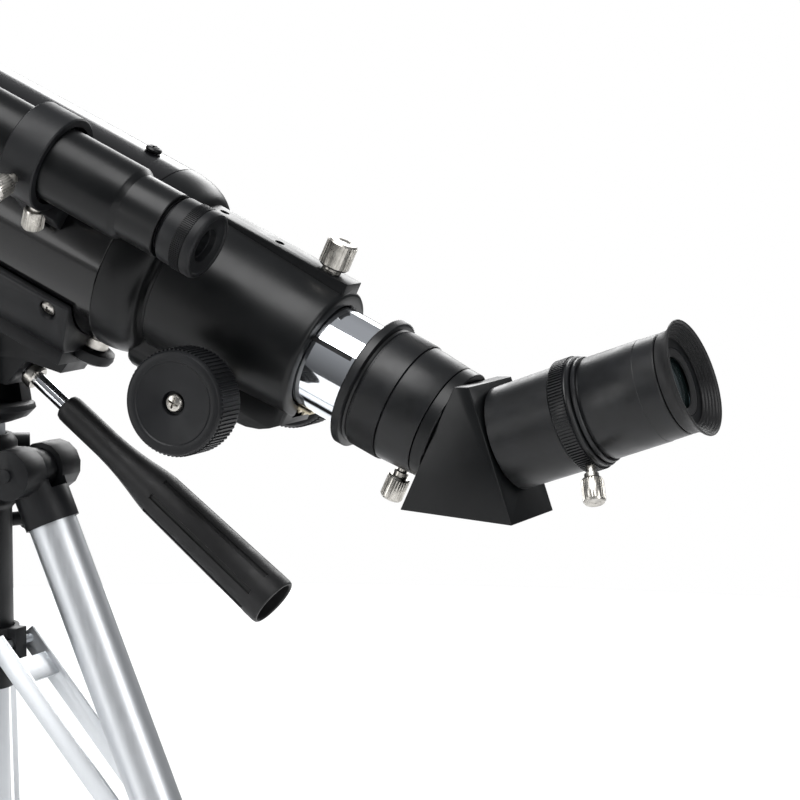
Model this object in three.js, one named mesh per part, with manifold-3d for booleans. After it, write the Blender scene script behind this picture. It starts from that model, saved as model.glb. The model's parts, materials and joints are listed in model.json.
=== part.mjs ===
// A small travel refractor telescope on a folding three-legged stand.
// Millimetres, +Z up. The eyepiece end points to +X and down, the objective to -X and up.
import * as THREE from 'three';
import { mergeVertices } from 'three/addons/utils/BufferGeometryUtils.js';
import Module from 'manifold-3d';

const wasm = await Module();
wasm.setup();

// ---- driving dimensions ----
const GAP = 0.3;                  // between pieces that touch
const RUN = 0.4;                  // running clearance on a radius
const ROUND = 24;                 // sides of large turned pieces
const SMALL = 12;                 // sides of screws, rods and knobs
const TILT = 25.2;                // tube slope at rest, degrees

const TUBE_R = 36.5;              // main tube
const TUBE_WALL = 1.5;
const TUBE_LENGTH = 238;
const SHIELD_R = 41;              // dew shield
const SHIELD_LENGTH = 78;
const SHIELD_OVERLAP = 18;
const LENS_R = 35;                // 70 mm objective
const HOUSING_LENGTH = 63;        // focuser housing, rim to bell
const HOUSING_REAR_R = 25.8;
const HOUSING_FRONT_R = 28.9;
const BELL_LENGTH = 17;
const SPIGOT_LENGTH = 32;
const RAIL_WIDTH = 12.6;
const RAIL_TOP = 29.4;
const DRAWTUBE_R = 20;
const DRAWTUBE_WALL = 1.6;
const DRAWTUBE_OUT = 19;          // chrome that shows at rest
const DRAWTUBE_IN = 92;           // length inside the housing
const RACK_WIDTH = 8;
const RACK_OUT = 5;               // rack that shows at rest
const RACK_HEIGHT = 2.5;
const PINION_R = 3.4;
const PINION_X = -25;
const KNOB_R = 19.5;
const KNOB_WIDTH = 17.8;
const KNOB_INNER_Y = 37.7;        // from the middle plane to the knob's inner face
const BOX_HALF = 13;              // pinion box
const BOX_BOTTOM = 38;
const BARREL_R = 15.85;           // 1.25 inch fitting
const BARREL_WALL = 1.5;
const ADAPTER_LENGTH = 32;
const ADAPTER_RING_R = 25;
const ADAPTER_BAND_R = 22.8;
const ADAPTER_NECK_R = 21.7;
const PRISM_X = 70.4;             // where the axes cross
const PRISM_HALF = 20;
const PRISM_WALL = 2;
const SOCKET_R = 19.1;
const COLLAR_R = 20.8;
const EYEPIECE_R = 18.7;
const EYECUP_R = 21.3;
const EYE_SCREW_TURN = 28;        // eyepiece screw, from straight below to the left side
const FINDER_Y = -51.5;
const FINDER_Z = 29.4;
const FINDER_R = 14;
const FINDER_NECK_R = 12.4;
const FINDER_RING_R = 18.5;
const SADDLE_HALF = 28;
const SADDLE_BOTTOM = 43;
const PLATE_THICK = 6;
const AXIS_X = -149;              // stand's upright axis
const PIVOT_Z = 1;                // tilt axis height
const HEAD_HALF = 17;
const BLOCK_HALF = 9;             // tilting block, between the cheeks
const GRIP_LENGTH = 112;
const GRIP_R = 10;
const HANDLE_DROP = 38.5;         // handle below level, degrees
const ROD_OFFSET = 5.7;           // handle rod's line above the tilt axis
const BOSS_REACH = 25;            // rod boss, from the tilt axis
const PAN_R = 23;
const COLUMN_R = 11;
const COLUMN_LENGTH = 165;
const SHOULDER_Z = -48.8;         // leg pivots' height
const HINGE_RADIUS = 24.8;        // leg pivots from the upright axis
const HINGE_HALF = 20;
const LEG_SPREAD = 22.8;          // degrees from upright
const LEG_R = 9.5;
const LEG_WALL = 1.2;
const LEG_LENGTH = 250;
const SLIDER_PLAY = 0.6;          // lower tube inside the upper one, on the radius
const SLIDER_R = LEG_R - LEG_WALL - SLIDER_PLAY;
const SLIDER_OUT = 48;            // lower tube below the lever collar at rest
const FOOT_R = 10.5;
const GUIDE_R = 13.2;
const HUB_DROP = 62;              // spreader hub below the leg pivots
const STRUT_ON_LEG = 170;         // pin's distance down the leg
const HUB_PIN_R = 16;

// ---- helpers ----
const rad = THREE.MathUtils.degToRad;
const paint = (color, roughness, metalness = 0) => () =>
  new THREE.MeshStandardMaterial({ color, roughness, metalness });
const glossBlack = paint(0x151618, 0.25);
const satinBlack = paint(0x1d1e21, 0.45);
const mattBlack = paint(0x222326, 0.7);
const rubber = paint(0x18181a, 0.85);
const chrome = paint(0xd9dce0, 0.08, 1);
const nickel = paint(0xc4c2bc, 0.3, 1);
const anodised = paint(0xc3c6ca, 0.35, 1);
const brass = paint(0xb08d4a, 0.35, 1);
const glass = paint(0xdfe9ee, 0.05);

// Turns a geometry the right way out.
function outward(geometry) {
  const { array } = geometry.attributes.position;
  const index = geometry.index.array;
  const [a, b, c] = [new THREE.Vector3(), new THREE.Vector3(), new THREE.Vector3()];
  let volume = 0;
  for (let i = 0; i < index.length; i += 3) {
    a.fromArray(array, index[i] * 3);
    b.fromArray(array, index[i + 1] * 3);
    c.fromArray(array, index[i + 2] * 3);
    volume += a.dot(b.cross(c));
  }
  if (volume < 0) index.reverse();
  return geometry;
}

function merged(geometry) {
  geometry.deleteAttribute('normal');
  geometry.deleteAttribute('uv');
  return outward(mergeVertices(geometry, 1e-4));
}

function toSolid(geometry) {
  const flat = merged(geometry.clone());
  return new wasm.Manifold(new wasm.Mesh({
    numProp: 3,
    vertProperties: new Float32Array(flat.attributes.position.array),
    triVerts: new Uint32Array(flat.index.array),
  }));
}

function fromSolid(solid) {
  const { vertProperties, triVerts } = solid.getMesh();
  const geometry = new THREE.BufferGeometry();
  geometry.setAttribute('position', new THREE.BufferAttribute(vertProperties, 3));
  geometry.setIndex(new THREE.BufferAttribute(triVerts, 1));
  return geometry;
}

// Joins the first list and cuts the second list from it.
function build(joined, cut = []) {
  let solid = toSolid(joined[0]);
  for (const piece of joined.slice(1)) solid = solid.add(toSolid(piece));
  for (const piece of cut) solid = solid.subtract(toSolid(piece));
  return fromSolid(solid);
}

// A turned piece about X, Y or Z. The profile is [along, radius] points.
function turned(axis, profile, sides = ROUND) {
  const points = profile.map(([along, r]) => new THREE.Vector2(r, along));
  const geometry = new THREE.LatheGeometry(points, sides);
  if (axis === 'x') geometry.rotateZ(-Math.PI / 2);
  if (axis === 'z') geometry.rotateX(Math.PI / 2);
  return merged(geometry);
}

const bar = (axis, from, to, r, sides = SMALL) =>
  turned(axis, [[from, 0], [from, r], [to, r], [to, 0]], sides);

const ring = (axis, from, to, inner, outer, sides = ROUND) =>
  turned(axis, [[from, inner], [from, outer], [to, outer], [to, inner], [from, inner]], sides);

function box(x0, x1, y0, y1, z0, z1) {
  const geometry = new THREE.BoxGeometry(x1 - x0, y1 - y0, z1 - z0);
  return geometry.translate((x0 + x1) / 2, (y0 + y1) / 2, (z0 + z1) / 2);
}

// An outline in X-Z, given thickness along Y.
function plateXZ(points, y0, y1) {
  const shape = new THREE.Shape(points.map(([x, z]) => new THREE.Vector2(x, z)));
  const geometry = new THREE.ExtrudeGeometry(shape, { depth: y1 - y0, bevelEnabled: false });
  return geometry.rotateX(Math.PI / 2).translate(0, y1, 0);
}

// An outline in Y-Z, given length along X.
function plateYZ(points, x0, x1) {
  const shape = new THREE.Shape(points.map(([y, z]) => new THREE.Vector2(y, z)));
  const geometry = new THREE.ExtrudeGeometry(shape, { depth: x1 - x0, bevelEnabled: false });
  return geometry.rotateX(Math.PI / 2).rotateZ(Math.PI / 2).translate(x0, 0, 0);
}

// Points of an arc, for outlines and profiles.
function arc(x, y, r, from, to, steps, squeeze = 1) {
  return Array.from({ length: steps + 1 }, (_, i) => {
    const angle = rad(from + (to - from) * i / steps);
    return [x + r * squeeze * Math.cos(angle), y + r * Math.sin(angle)];
  });
}

function group(parent, x, y, z, turnY = 0, turnZ = 0) {
  const result = new THREE.Group();
  result.position.set(x, y, z);
  result.rotation.set(0, rad(turnY), rad(turnZ), 'ZYX');
  parent.add(result);
  return result;
}

function add(parent, name, geometry, material) {
  const mesh = new THREE.Mesh(geometry, material());
  mesh.name = name;
  parent.add(mesh);
  return mesh;
}

// A knurled-head screw along X: its tip at 0, shank out to neck, head to top.
function thumbscrew(shankR, neck, headR, top) {
  return turned('x', [
    [0, 0], [0, shankR], [neck, shankR], [neck, headR * 0.68], [neck + 1.6, headR * 0.68],
    [neck + 1.6, headR * 0.93], [neck + 2.4, headR], [top - 0.8, headR], [top, headR * 0.85],
    [top, 0],
  ], SMALL);
}

const object = new THREE.Group();
const tube = group(object, 0, 0, 0, TILT);

// ---- optical tube ----
const tubeRear = -HOUSING_LENGTH - BELL_LENGTH - GAP;
const tubeFront = tubeRear - TUBE_LENGTH;
const tubeInner = TUBE_R - TUBE_WALL;

function opticalTube() {
  const screwX = tubeRear - 15;
  const screwHole = bar('z', tubeInner - 5, TUBE_R + 5, 2.2).translate(screwX, 0, 0);
  add(tube, 'main_tube', build([ring('x', tubeFront, tubeRear, tubeInner, TUBE_R)], [screwHole]),
    glossBlack);
  const screw = turned('z', [
    [tubeInner - 2, 0], [tubeInner - 2, 1.8], [TUBE_R + GAP, 1.8], [TUBE_R + GAP, 3.2],
    [TUBE_R + 2.2, 2.6], [TUBE_R + 2.2, 0],
  ], SMALL);
  add(tube, 'housing_screw', screw.translate(screwX, 0, 0), satinBlack);

  const shieldRear = tubeFront + SHIELD_OVERLAP;
  const shieldFront = shieldRear - SHIELD_LENGTH;
  add(tube, 'dew_shield', turned('x', [
    [shieldRear, TUBE_R + GAP], [shieldRear, SHIELD_R - 1.5], [shieldRear - 2, SHIELD_R],
    [shieldFront + 2, SHIELD_R], [shieldFront, SHIELD_R - 1.2], [shieldFront, SHIELD_R - 3],
    [tubeFront - GAP - 14, SHIELD_R - 3], [tubeFront - GAP - 14, SHIELD_R - 2.6],
    [tubeFront - GAP, SHIELD_R - 2.6], [tubeFront - GAP, TUBE_R + GAP], [shieldRear, TUBE_R + GAP],
  ]), satinBlack);

  const cellOut = SHIELD_R - 2.6 - GAP;
  const cellRear = tubeFront - GAP * 2;
  const lensOut = LENS_R + 0.4;
  add(tube, 'objective_cell', turned('x', [
    [cellRear, LENS_R - 2], [cellRear, cellOut], [cellRear - 12, cellOut],
    [cellRear - 12, lensOut + GAP], [cellRear - 2, lensOut + GAP], [cellRear - 2, LENS_R - 2],
    [cellRear, LENS_R - 2],
  ]), satinBlack);
  const lensRear = cellRear - 2 - GAP;
  const lensFront = lensRear - 8.5;
  const bulge = 1.8;
  add(tube, 'objective_lens', turned('x', [
    [lensFront - bulge, 0], [lensFront - bulge * 0.75, lensOut / 2], [lensFront, lensOut],
    [lensRear, lensOut], [lensRear, 0],
  ]), glass);
}
opticalTube();

// ---- focuser ----
const pinionZ = -(DRAWTUBE_R + GAP + RACK_HEIGHT + PINION_R + GAP);
const lockX = -11;

function focuser() {
  const bell = arc(-HOUSING_LENGTH - BELL_LENGTH, HOUSING_FRONT_R, TUBE_R - HOUSING_FRONT_R,
    6, 90, 6, (BELL_LENGTH - 1) / (TUBE_R - HOUSING_FRONT_R));
  const spigot = tubeInner - GAP;
  const front = tubeRear - SPIGOT_LENGTH;
  const shell = turned('x', [
    [-0.2, DRAWTUBE_R + RUN], [0, HOUSING_REAR_R - 2], [-1.6, HOUSING_REAR_R],
    [-HOUSING_LENGTH + 1.5, HOUSING_FRONT_R], [-HOUSING_LENGTH + 1.2, HOUSING_FRONT_R - 1.2],
    [-HOUSING_LENGTH - 0.6, HOUSING_FRONT_R - 1.2], ...bell,
    [-HOUSING_LENGTH - BELL_LENGTH, spigot], [front, spigot], [front, spigot - 2.5],
    [-HOUSING_LENGTH - 14, spigot - 2.5], [-HOUSING_LENGTH + 2, DRAWTUBE_R + RUN],
    [-0.2, DRAWTUBE_R + RUN],
  ]);
  const rail = box(-HOUSING_LENGTH - BELL_LENGTH + 3, -0.6, -RAIL_WIDTH / 2, RAIL_WIDTH / 2,
    HOUSING_REAR_R - 2, RAIL_TOP);
  const corner = 8;
  const boxOutline = [
    [-BOX_HALF, -17], ...arc(-BOX_HALF + corner, -BOX_BOTTOM + corner, corner, 180, 270, 4),
    ...arc(BOX_HALF - corner, -BOX_BOTTOM + corner, corner, 270, 360, 4), [BOX_HALF, -17],
  ];
  const pinionBox = plateYZ(boxOutline, -HOUSING_LENGTH - 6, -0.6);
  const rackSlot = box(-HOUSING_LENGTH - 8, 1, -RACK_WIDTH / 2 - RUN, RACK_WIDTH / 2 + RUN,
    pinionZ + PINION_R - 0.2, -DRAWTUBE_R + 3);
  const well = box(PINION_X - PINION_R - 2, PINION_X + PINION_R + 2, -RACK_WIDTH / 2 - RUN,
    RACK_WIDTH / 2 + RUN, pinionZ - PINION_R - 1, -DRAWTUBE_R);
  const shaftHole = bar('y', -BOX_HALF - 5, BOX_HALF + 5, 2.4 + RUN).translate(PINION_X, 0, pinionZ);
  const bore = bar('x', -HOUSING_LENGTH - 6, 2, DRAWTUBE_R + RUN, ROUND);
  const funnel = turned('x', [
    [-HOUSING_LENGTH - 14, 0], [-HOUSING_LENGTH - 14, spigot - 2.5],
    [-HOUSING_LENGTH + 2, DRAWTUBE_R + RUN], [-HOUSING_LENGTH + 2, 0],
  ]);
  const lockHole = bar('z', DRAWTUBE_R - 3, RAIL_TOP + 4, 2.8 + RUN).translate(lockX, 0, 0);
  const tubeScrewHole = bar('z', spigot - 6, spigot + 4, 2.2).translate(tubeRear - 15, 0, 0);
  const seats = [-34, -59].map((x) => bar('z', RAIL_TOP - 2.5, RAIL_TOP + 4, 1.9).translate(x, 0, 0));
  add(tube, 'focuser_housing', build([shell, rail, pinionBox],
    [bore, funnel, rackSlot, well, shaftHole, lockHole, tubeScrewHole, ...seats]), satinBlack);

  add(tube, 'drawtube', ring('x', -DRAWTUBE_IN, DRAWTUBE_OUT + 6, DRAWTUBE_R - DRAWTUBE_WALL,
    DRAWTUBE_R), chrome);
  add(tube, 'drawtube_rack', box(-DRAWTUBE_IN + 6, RACK_OUT, -RACK_WIDTH / 2, RACK_WIDTH / 2,
    -DRAWTUBE_R - GAP - RACK_HEIGHT, -DRAWTUBE_R - GAP), brass);

  const knobs = group(tube, PINION_X, 0, pinionZ);
  const shaftEnd = KNOB_INNER_Y + KNOB_WIDTH - 6;
  add(knobs, 'pinion_shaft', turned('y', [
    [-shaftEnd, 0], [-shaftEnd, 2.4], [-RACK_WIDTH / 2, 2.4], [-RACK_WIDTH / 2, PINION_R],
    [RACK_WIDTH / 2, PINION_R], [RACK_WIDTH / 2, 2.4], [shaftEnd, 2.4], [shaftEnd, 0],
  ], SMALL), nickel);
  for (const [side, name] of [[-1, 'left'], [1, 'right']]) {
    const inner = KNOB_INNER_Y;
    const outer = KNOB_INNER_Y + KNOB_WIDTH;
    const at = (points) => points.map(([y, r]) => [y * side, r]);
    add(knobs, `focus_knob_${name}`, turned('y', at([
      [inner - 9, 2.4 + GAP], [inner - 9, 6], [inner, 6], [inner, KNOB_R - 1.5],
      [inner + 1.5, KNOB_R], [outer - 1.5, KNOB_R], [outer, KNOB_R - 1.5], [outer, KNOB_R - 5],
      [outer - 0.8, KNOB_R - 5.6], [outer - 0.8, 4.2], [outer - 3, 4.2], [outer - 3, 0],
      [shaftEnd + GAP, 0], [shaftEnd + GAP, 2.4 + GAP], [inner - 9, 2.4 + GAP],
    ])), mattBlack);
  }

  const lock = group(tube, lockX, 0, DRAWTUBE_R + RUN, -90);
  add(lock, 'focus_lock_screw', thumbscrew(2.8, RAIL_TOP - DRAWTUBE_R + 0.6, 6, 21), nickel);
}
focuser();

// ---- eyepiece adapter on the drawtube ----
const adapterEnd = DRAWTUBE_OUT + GAP + ADAPTER_LENGTH;

function adapter() {
  const x = DRAWTUBE_OUT + GAP;
  const boreR = BARREL_R + GAP;
  const shell = turned('x', [
    [x, DRAWTUBE_R + GAP], [x, ADAPTER_RING_R - 0.8], [x + 0.8, ADAPTER_RING_R],
    [x + 4, ADAPTER_RING_R], [x + 5.2, ADAPTER_BAND_R], [x + 17.6, ADAPTER_BAND_R],
    [x + 18.2, ADAPTER_BAND_R - 0.4], [adapterEnd, ADAPTER_NECK_R], [adapterEnd, boreR],
    [x + 7, boreR], [x + 7, DRAWTUBE_R + GAP], [x, DRAWTUBE_R + GAP],
  ]);
  const screwX = adapterEnd - 6;
  const hole = bar('z', -ADAPTER_RING_R - 4, -BARREL_R + 2, 2 + RUN).translate(screwX, 0, 0);
  add(tube, 'eyepiece_adapter', build([shell], [hole]), mattBlack);
  const screw = group(tube, screwX, 0, -boreR - 0.2, 90);
  add(screw, 'adapter_thumbscrew', thumbscrew(2, 8, 4.4, 18.5), nickel);
}
adapter();

// ---- star diagonal ----
const bend = group(tube, PRISM_X, 0, 0, -45);
const faceAt = 9.1;               // exit face from the crossing of the axes
const socketEnd = 44.1;

function diagonal() {
  const flange = adapterEnd + GAP;
  const rear = PRISM_X - 13.5 - GAP;
  add(tube, 'diagonal_barrel', turned('x', [
    [flange - 21, BARREL_R - BARREL_WALL], [flange - 21, BARREL_R], [flange, BARREL_R],
    [flange, ADAPTER_NECK_R - 0.5], [flange + 0.5, ADAPTER_NECK_R], [rear - 0.5, ADAPTER_NECK_R],
    [rear, ADAPTER_NECK_R - 0.5], [rear, BARREL_R - BARREL_WALL],
    [flange - 21, BARREL_R - BARREL_WALL],
  ]), satinBlack);
  const corners = [[-13.1, -30.3], [27.1, -14.8], [-8.5, 21.8], [-13.5, 19.2]];
  const shrink = (points, by) => points.map(([x, z], i) => {
    const [px, pz] = points[(i + 3) % 4];
    const [nx, nz] = points[(i + 1) % 4];
    const before = new THREE.Vector2(x - px, z - pz).normalize();
    const after = new THREE.Vector2(nx - x, nz - z).normalize();
    const inward = by / (before.x * after.y - before.y * after.x);
    return [x + (after.x - before.x) * inward, z + (after.y - before.y) * inward];
  });
  const place = (geometry) => geometry.translate(PRISM_X, 0, 0);
  const outer = place(plateXZ(corners, -PRISM_HALF, PRISM_HALF));
  const inner = place(plateXZ(shrink(corners, PRISM_WALL), -PRISM_HALF + PRISM_WALL,
    PRISM_HALF - PRISM_WALL));
  const entry = bar('x', PRISM_X - 17, PRISM_X - 5, BARREL_R - BARREL_WALL);
  const exit = bar('x', 4, faceAt + 4, BARREL_R - BARREL_WALL).rotateY(rad(-45))
    .translate(PRISM_X, 0, 0);
  add(tube, 'prism_housing', build([outer], [inner, entry, exit]), satinBlack);
  const prism = place(plateXZ(shrink(corners, PRISM_WALL + 0.5), -PRISM_HALF + 4, PRISM_HALF - 4));
  add(tube, 'erecting_prism', prism, glass);

  const boreR = BARREL_R + GAP;
  const socket = turned('x', [
    [faceAt + 0.8, boreR], [faceAt + 0.8, SOCKET_R], [socketEnd - 8.4, SOCKET_R],
    [socketEnd - 8, COLLAR_R], [socketEnd - 0.6, COLLAR_R], [socketEnd, COLLAR_R - 0.6],
    [socketEnd, boreR], [faceAt + 0.8, boreR],
  ]);
  const screwX = socketEnd - 4.2;
  const hole = bar('z', -COLLAR_R - 4, -BARREL_R + 2, 2 + RUN).rotateX(rad(-EYE_SCREW_TURN))
    .translate(screwX, 0, 0);
  add(bend, 'eyepiece_socket', build([socket], [hole]), mattBlack);
  add(bend, 'eyepiece_thumbscrew', thumbscrew(2, 7.5, 4.2, 18.5).rotateY(Math.PI / 2)
    .translate(0, 0, -boreR - 0.2).rotateX(rad(-EYE_SCREW_TURN)).translate(screwX, 0, 0), nickel);
}
diagonal();

// ---- eyepiece ----
function eyepiece() {
  const x = socketEnd + GAP;
  const hold = BARREL_R + GAP;
  add(bend, 'eyepiece_barrel', ring('x', x - 24, x + 8, BARREL_R - BARREL_WALL, BARREL_R), chrome);
  add(bend, 'eyepiece_body', turned('x', [
    [x, hold], [x, EYEPIECE_R - 0.9], [x + 2.4, EYEPIECE_R - 0.9], [x + 2.8, EYEPIECE_R],
    [x + 26, EYEPIECE_R], [x + 26.4, EYEPIECE_R - 0.8], [x + 28, EYEPIECE_R - 0.8],
    [x + 28, hold], [x + 34, hold], [x + 34, 12.4], [x + 8.5, 12.4], [x + 8.5, hold], [x, hold],
  ]), mattBlack);
  add(bend, 'eyecup', turned('x', [
    [x + 28 + GAP, hold + GAP], [x + 28 + GAP, EYEPIECE_R + 0.5], [x + 32, EYEPIECE_R + 1],
    [x + 39.3, EYECUP_R], [x + 39.3, EYECUP_R - 1.6], [x + 36, 17], [x + 34 + GAP, 15.4],
    [x + 34 + GAP, hold + GAP], [x + 28 + GAP, hold + GAP],
  ]), rubber);
  add(bend, 'eye_lens', turned('x', [
    [x + 29, 0], [x + 29, 12.1], [x + 31.6, 12.1], [x + 32.6, 6], [x + 33, 0],
  ]), glass);
}
eyepiece();

// ---- finder ----
const finder = group(tube, 0, FINDER_Y, FINDER_Z);

function finderScope() {
  const neckRear = -53.4;
  const tubeEnd = -71.5;
  const frontEnd = -186;
  add(finder, 'finder_tube', turned('x', [
    [neckRear, FINDER_NECK_R - 1.5], [neckRear, FINDER_NECK_R], [tubeEnd + 2, FINDER_NECK_R],
    [tubeEnd, FINDER_R], [frontEnd + 32, FINDER_R], [frontEnd + 28, FINDER_R + 3],
    [frontEnd, FINDER_R + 3], [frontEnd, FINDER_R + 1.2], [frontEnd + 14, FINDER_R + 1.2],
    [frontEnd + 14, FINDER_R - 1.5], [tubeEnd - 2, FINDER_R - 1.5], [tubeEnd, FINDER_NECK_R - 1.5],
    [neckRear, FINDER_NECK_R - 1.5],
  ], 18), satinBlack);
  add(finder, 'finder_objective', turned('x', [
    [frontEnd + 8.4, 0], [frontEnd + 9, 8], [frontEnd + 10.2, FINDER_R + 0.8],
    [frontEnd + 13.6, FINDER_R + 0.8], [frontEnd + 13.6, 0],
  ], 18), glass);
  const spigot = FINDER_NECK_R - 1.5 - RUN;
  add(finder, 'finder_eyepiece', turned('x', [
    [neckRear - 14, spigot - 1.6], [neckRear - 14, spigot], [neckRear + GAP, spigot],
    [neckRear + GAP, spigot - 0.6], [neckRear + 2, spigot - 0.6], [neckRear + 2, 12.2],
    [neckRear + 3, 12.8], [-39.5, 12.8], [-37, 11.2], [-37, 9], [-40, 6], [-44, 6],
    [-44, spigot - 1.6], [neckRear - 14, spigot - 1.6],
  ], 18), mattBlack);

  const ringFront = -117;
  const ringRear = -102;
  const toTube = Math.atan2(-FINDER_Z, -FINDER_Y);
  const reach = Math.hypot(FINDER_Y, FINDER_Z);
  const stem = box(ringFront - 8, ringRear + 8, FINDER_RING_R - 3, reach - TUBE_R + 4, -9, 9)
    .rotateX(toTube);
  const hollow = bar('x', ringFront - 20, ringRear + 20, FINDER_RING_R - 3, ROUND);
  const seat = bar('x', ringFront - 20, ringRear + 20, TUBE_R + GAP, 56)
    .translate(0, -FINDER_Y, -FINDER_Z);
  const middle = (ringFront + ringRear) / 2;
  const angles = [['left', 205], ['right', 290]];
  const holes = angles.map(([, angle]) => bar('y', FINDER_R - 3, FINDER_RING_R + 4, 1.9 + RUN)
    .rotateX(rad(angle)).translate(middle, 0, 0));
  add(finder, 'finder_bracket', build([
    ring('x', ringFront, ringRear, FINDER_RING_R - 3, FINDER_RING_R), stem,
  ], [hollow, seat, ...holes]), satinBlack);
  for (const [name, angle] of angles) {
    const screw = thumbscrew(1.9, 6.4, 4.3, 16.5).rotateZ(Math.PI / 2)
      .translate(0, FINDER_R + GAP, 0).rotateX(rad(angle)).translate(middle, 0, 0);
    add(finder, `finder_screw_${name}`, screw, nickel);
  }
}
finderScope();

// ---- saddle and head, which tilt with the tube ----
const slope = rad(TILT);
const pivotX = AXIS_X * Math.cos(slope) - PIVOT_Z * Math.sin(slope);
const pivotZ = AXIS_X * Math.sin(slope) + PIVOT_Z * Math.cos(slope);
const saddleRear = tubeRear - 8;
const plateBottom = -SADDLE_BOTTOM - GAP - PLATE_THICK;

function saddleAndHead() {
  const saddleFront = saddleRear - 122;
  const outline = [
    [-SADDLE_HALF, -21], [-SADDLE_HALF - 3, -24], [-24, -39], [-20, -SADDLE_BOTTOM],
    [20, -SADDLE_BOTTOM], [24, -39], [SADDLE_HALF + 3, -24], [SADDLE_HALF, -21],
  ];
  const cradle = bar('x', saddleFront - 5, saddleRear + 5, TUBE_R + GAP, 56);
  const screwX = saddleRear - 9;
  const lean = (geometry) => geometry.rotateX(rad(-135)).translate(screwX, 0, 0);
  add(tube, 'tube_saddle', build([plateYZ(outline, saddleFront, saddleRear)],
    [cradle, lean(bar('y', TUBE_R, TUBE_R + 8, 3.6))]), satinBlack);
  add(tube, 'saddle_screw', lean(turned('y', [
    [TUBE_R + GAP * 2, 0], [TUBE_R + GAP * 2, 3.2], [TUBE_R + 2.4, 3.2], [TUBE_R + 3.2, 2], [TUBE_R + 3.4, 0],
  ], SMALL)), nickel);

  const dropInTube = rad(HANDLE_DROP - TILT);
  const rodPoint = (along, above) => [
    pivotX + along * Math.cos(dropInTube) + (ROD_OFFSET + above) * Math.sin(dropInTube),
    pivotZ - along * Math.sin(dropInTube) + (ROD_OFFSET + above) * Math.cos(dropInTube),
  ];
  const rodPlace = (geometry) => geometry.translate(0, 0, ROD_OFFSET).rotateY(dropInTube)
    .translate(pivotX, 0, pivotZ);
  const block = plateXZ([
    [saddleRear - 2, plateBottom + 1], [saddleRear - 3.5, plateBottom - 5],
    rodPoint(BOSS_REACH + 1, 6), rodPoint(BOSS_REACH, -7), [pivotX + 3, pivotZ - 11],
    [pivotX - 7, pivotZ - 9], [pivotX - 13, plateBottom + 1],
  ], -BLOCK_HALF, BLOCK_HALF);
  const plate = box(saddleRear - 98, saddleRear - 2, -HEAD_HALF, HEAD_HALF, plateBottom,
    -SADDLE_BOTTOM - GAP);
  const screwAt = saddleRear - 82;
  const platformScrewHole = bar('z', plateBottom - 8, -SADDLE_BOTTOM + 2, 3 + RUN)
    .translate(screwAt, 0, 0);
  const axleHole = bar('y', -20, 20, 4 + RUN).translate(pivotX, 0, pivotZ);
  const rodStart = 9;
  const rodHole = rodPlace(bar('x', rodStart - 1, 90, 2.9 + GAP));
  add(tube, 'tilt_platform', build([block, plate], [platformScrewHole, axleHole, rodHole]), mattBlack);

  add(tube, 'platform_screw', turned('z', [
    [-SADDLE_BOTTOM - GAP - 0.5, 0], [-SADDLE_BOTTOM - GAP - 0.5, 3], [plateBottom - GAP, 3],
    [plateBottom - GAP, 11], [plateBottom - 7, 11], [plateBottom - 8, 10], [plateBottom - 8, 0],
  ], 20).translate(screwAt, 0, 0), mattBlack);

  const gripStart = 46.5;
  const gripEnd = gripStart + GRIP_LENGTH;
  add(tube, 'handle_rod', rodPlace(turned('x', [
    [rodStart, 0], [rodStart, 2.9], [gripStart + 18, 2.9], [gripStart + 18, 0],
  ], SMALL)), chrome);
  add(tube, 'handle_grip', rodPlace(turned('x', [
    [gripStart, 3.2], [gripStart, 4.6], [gripStart + 2, 5.2], [gripStart + 24, 5.4],
    [gripStart + 42, 7.6], [gripStart + 56, 9.3], [gripEnd - 30, GRIP_R], [gripEnd, GRIP_R],
    [gripEnd, GRIP_R - 1.6], [gripStart + 52, 7.2], [gripStart + 20, 3.2], [gripStart, 3.2],
  ], 20)), rubber);
}
saddleAndHead();

// ---- pan base and column ----
const stand = group(object, AXIS_X, 0, 0);
const panBottom = -31;
const panTop = panBottom + 7;
const shoulderTop = SHOULDER_Z + 13;

function panHead() {
  const cheekIn = BLOCK_HALF + 0.6;
  const cheekOut = HEAD_HALF;
  const cheekShape = [[-15, panTop - 2], [15, panTop - 2], ...arc(0, PIVOT_Z, 10.5, 0, 180, 8)];
  const base = turned('z', [
    [panBottom, 0], [panBottom, PAN_R - 9], [panBottom + 2, PAN_R - 3], [panBottom + 5, PAN_R],
    [panTop, PAN_R - 0.5], [panTop, 0],
  ]);
  const cheeks = [-1, 1].map((side) => plateXZ(cheekShape, Math.min(side * cheekIn, side * cheekOut),
    Math.max(side * cheekIn, side * cheekOut)));
  const axleHole = bar('y', -30, 30, 4 + RUN).translate(0, 0, PIVOT_Z);
  const spindle = bar('z', panBottom - 1, panBottom + 5, 5 + RUN);
  const lockHole = bar('x', -PAN_R - 3, -4, 2.5 + RUN).translate(0, 0, panBottom + 3.5);
  add(stand, 'pan_base', build([base, ...cheeks], [axleHole, spindle, lockHole]), mattBlack);
  add(stand, 'tilt_axle', turned('y', [
    [-22, 0], [-22, 6.4], [-HEAD_HALF - GAP, 6.8], [-HEAD_HALF - GAP, 4], [HEAD_HALF + GAP, 4],
    [HEAD_HALF + GAP, 6.8], [22, 6.4], [22, 0],
  ], SMALL).translate(0, 0, PIVOT_Z), nickel);
  add(stand, 'pan_lock_knob', thumbscrew(2.5, PAN_R - 5, 6, PAN_R + 9).rotateY(Math.PI)
    .translate(-5 - RUN - 0.4, 0, panBottom + 3.5), mattBlack);

  add(stand, 'center_column', turned('z', [
    [panBottom - GAP - COLUMN_LENGTH, 0], [panBottom - GAP - COLUMN_LENGTH, COLUMN_R],
    [panBottom - GAP, COLUMN_R], [panBottom - GAP, 5], [panBottom + 4.4, 5], [panBottom + 4.4, 0],
  ], 24), anodised);
}
panHead();

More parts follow.
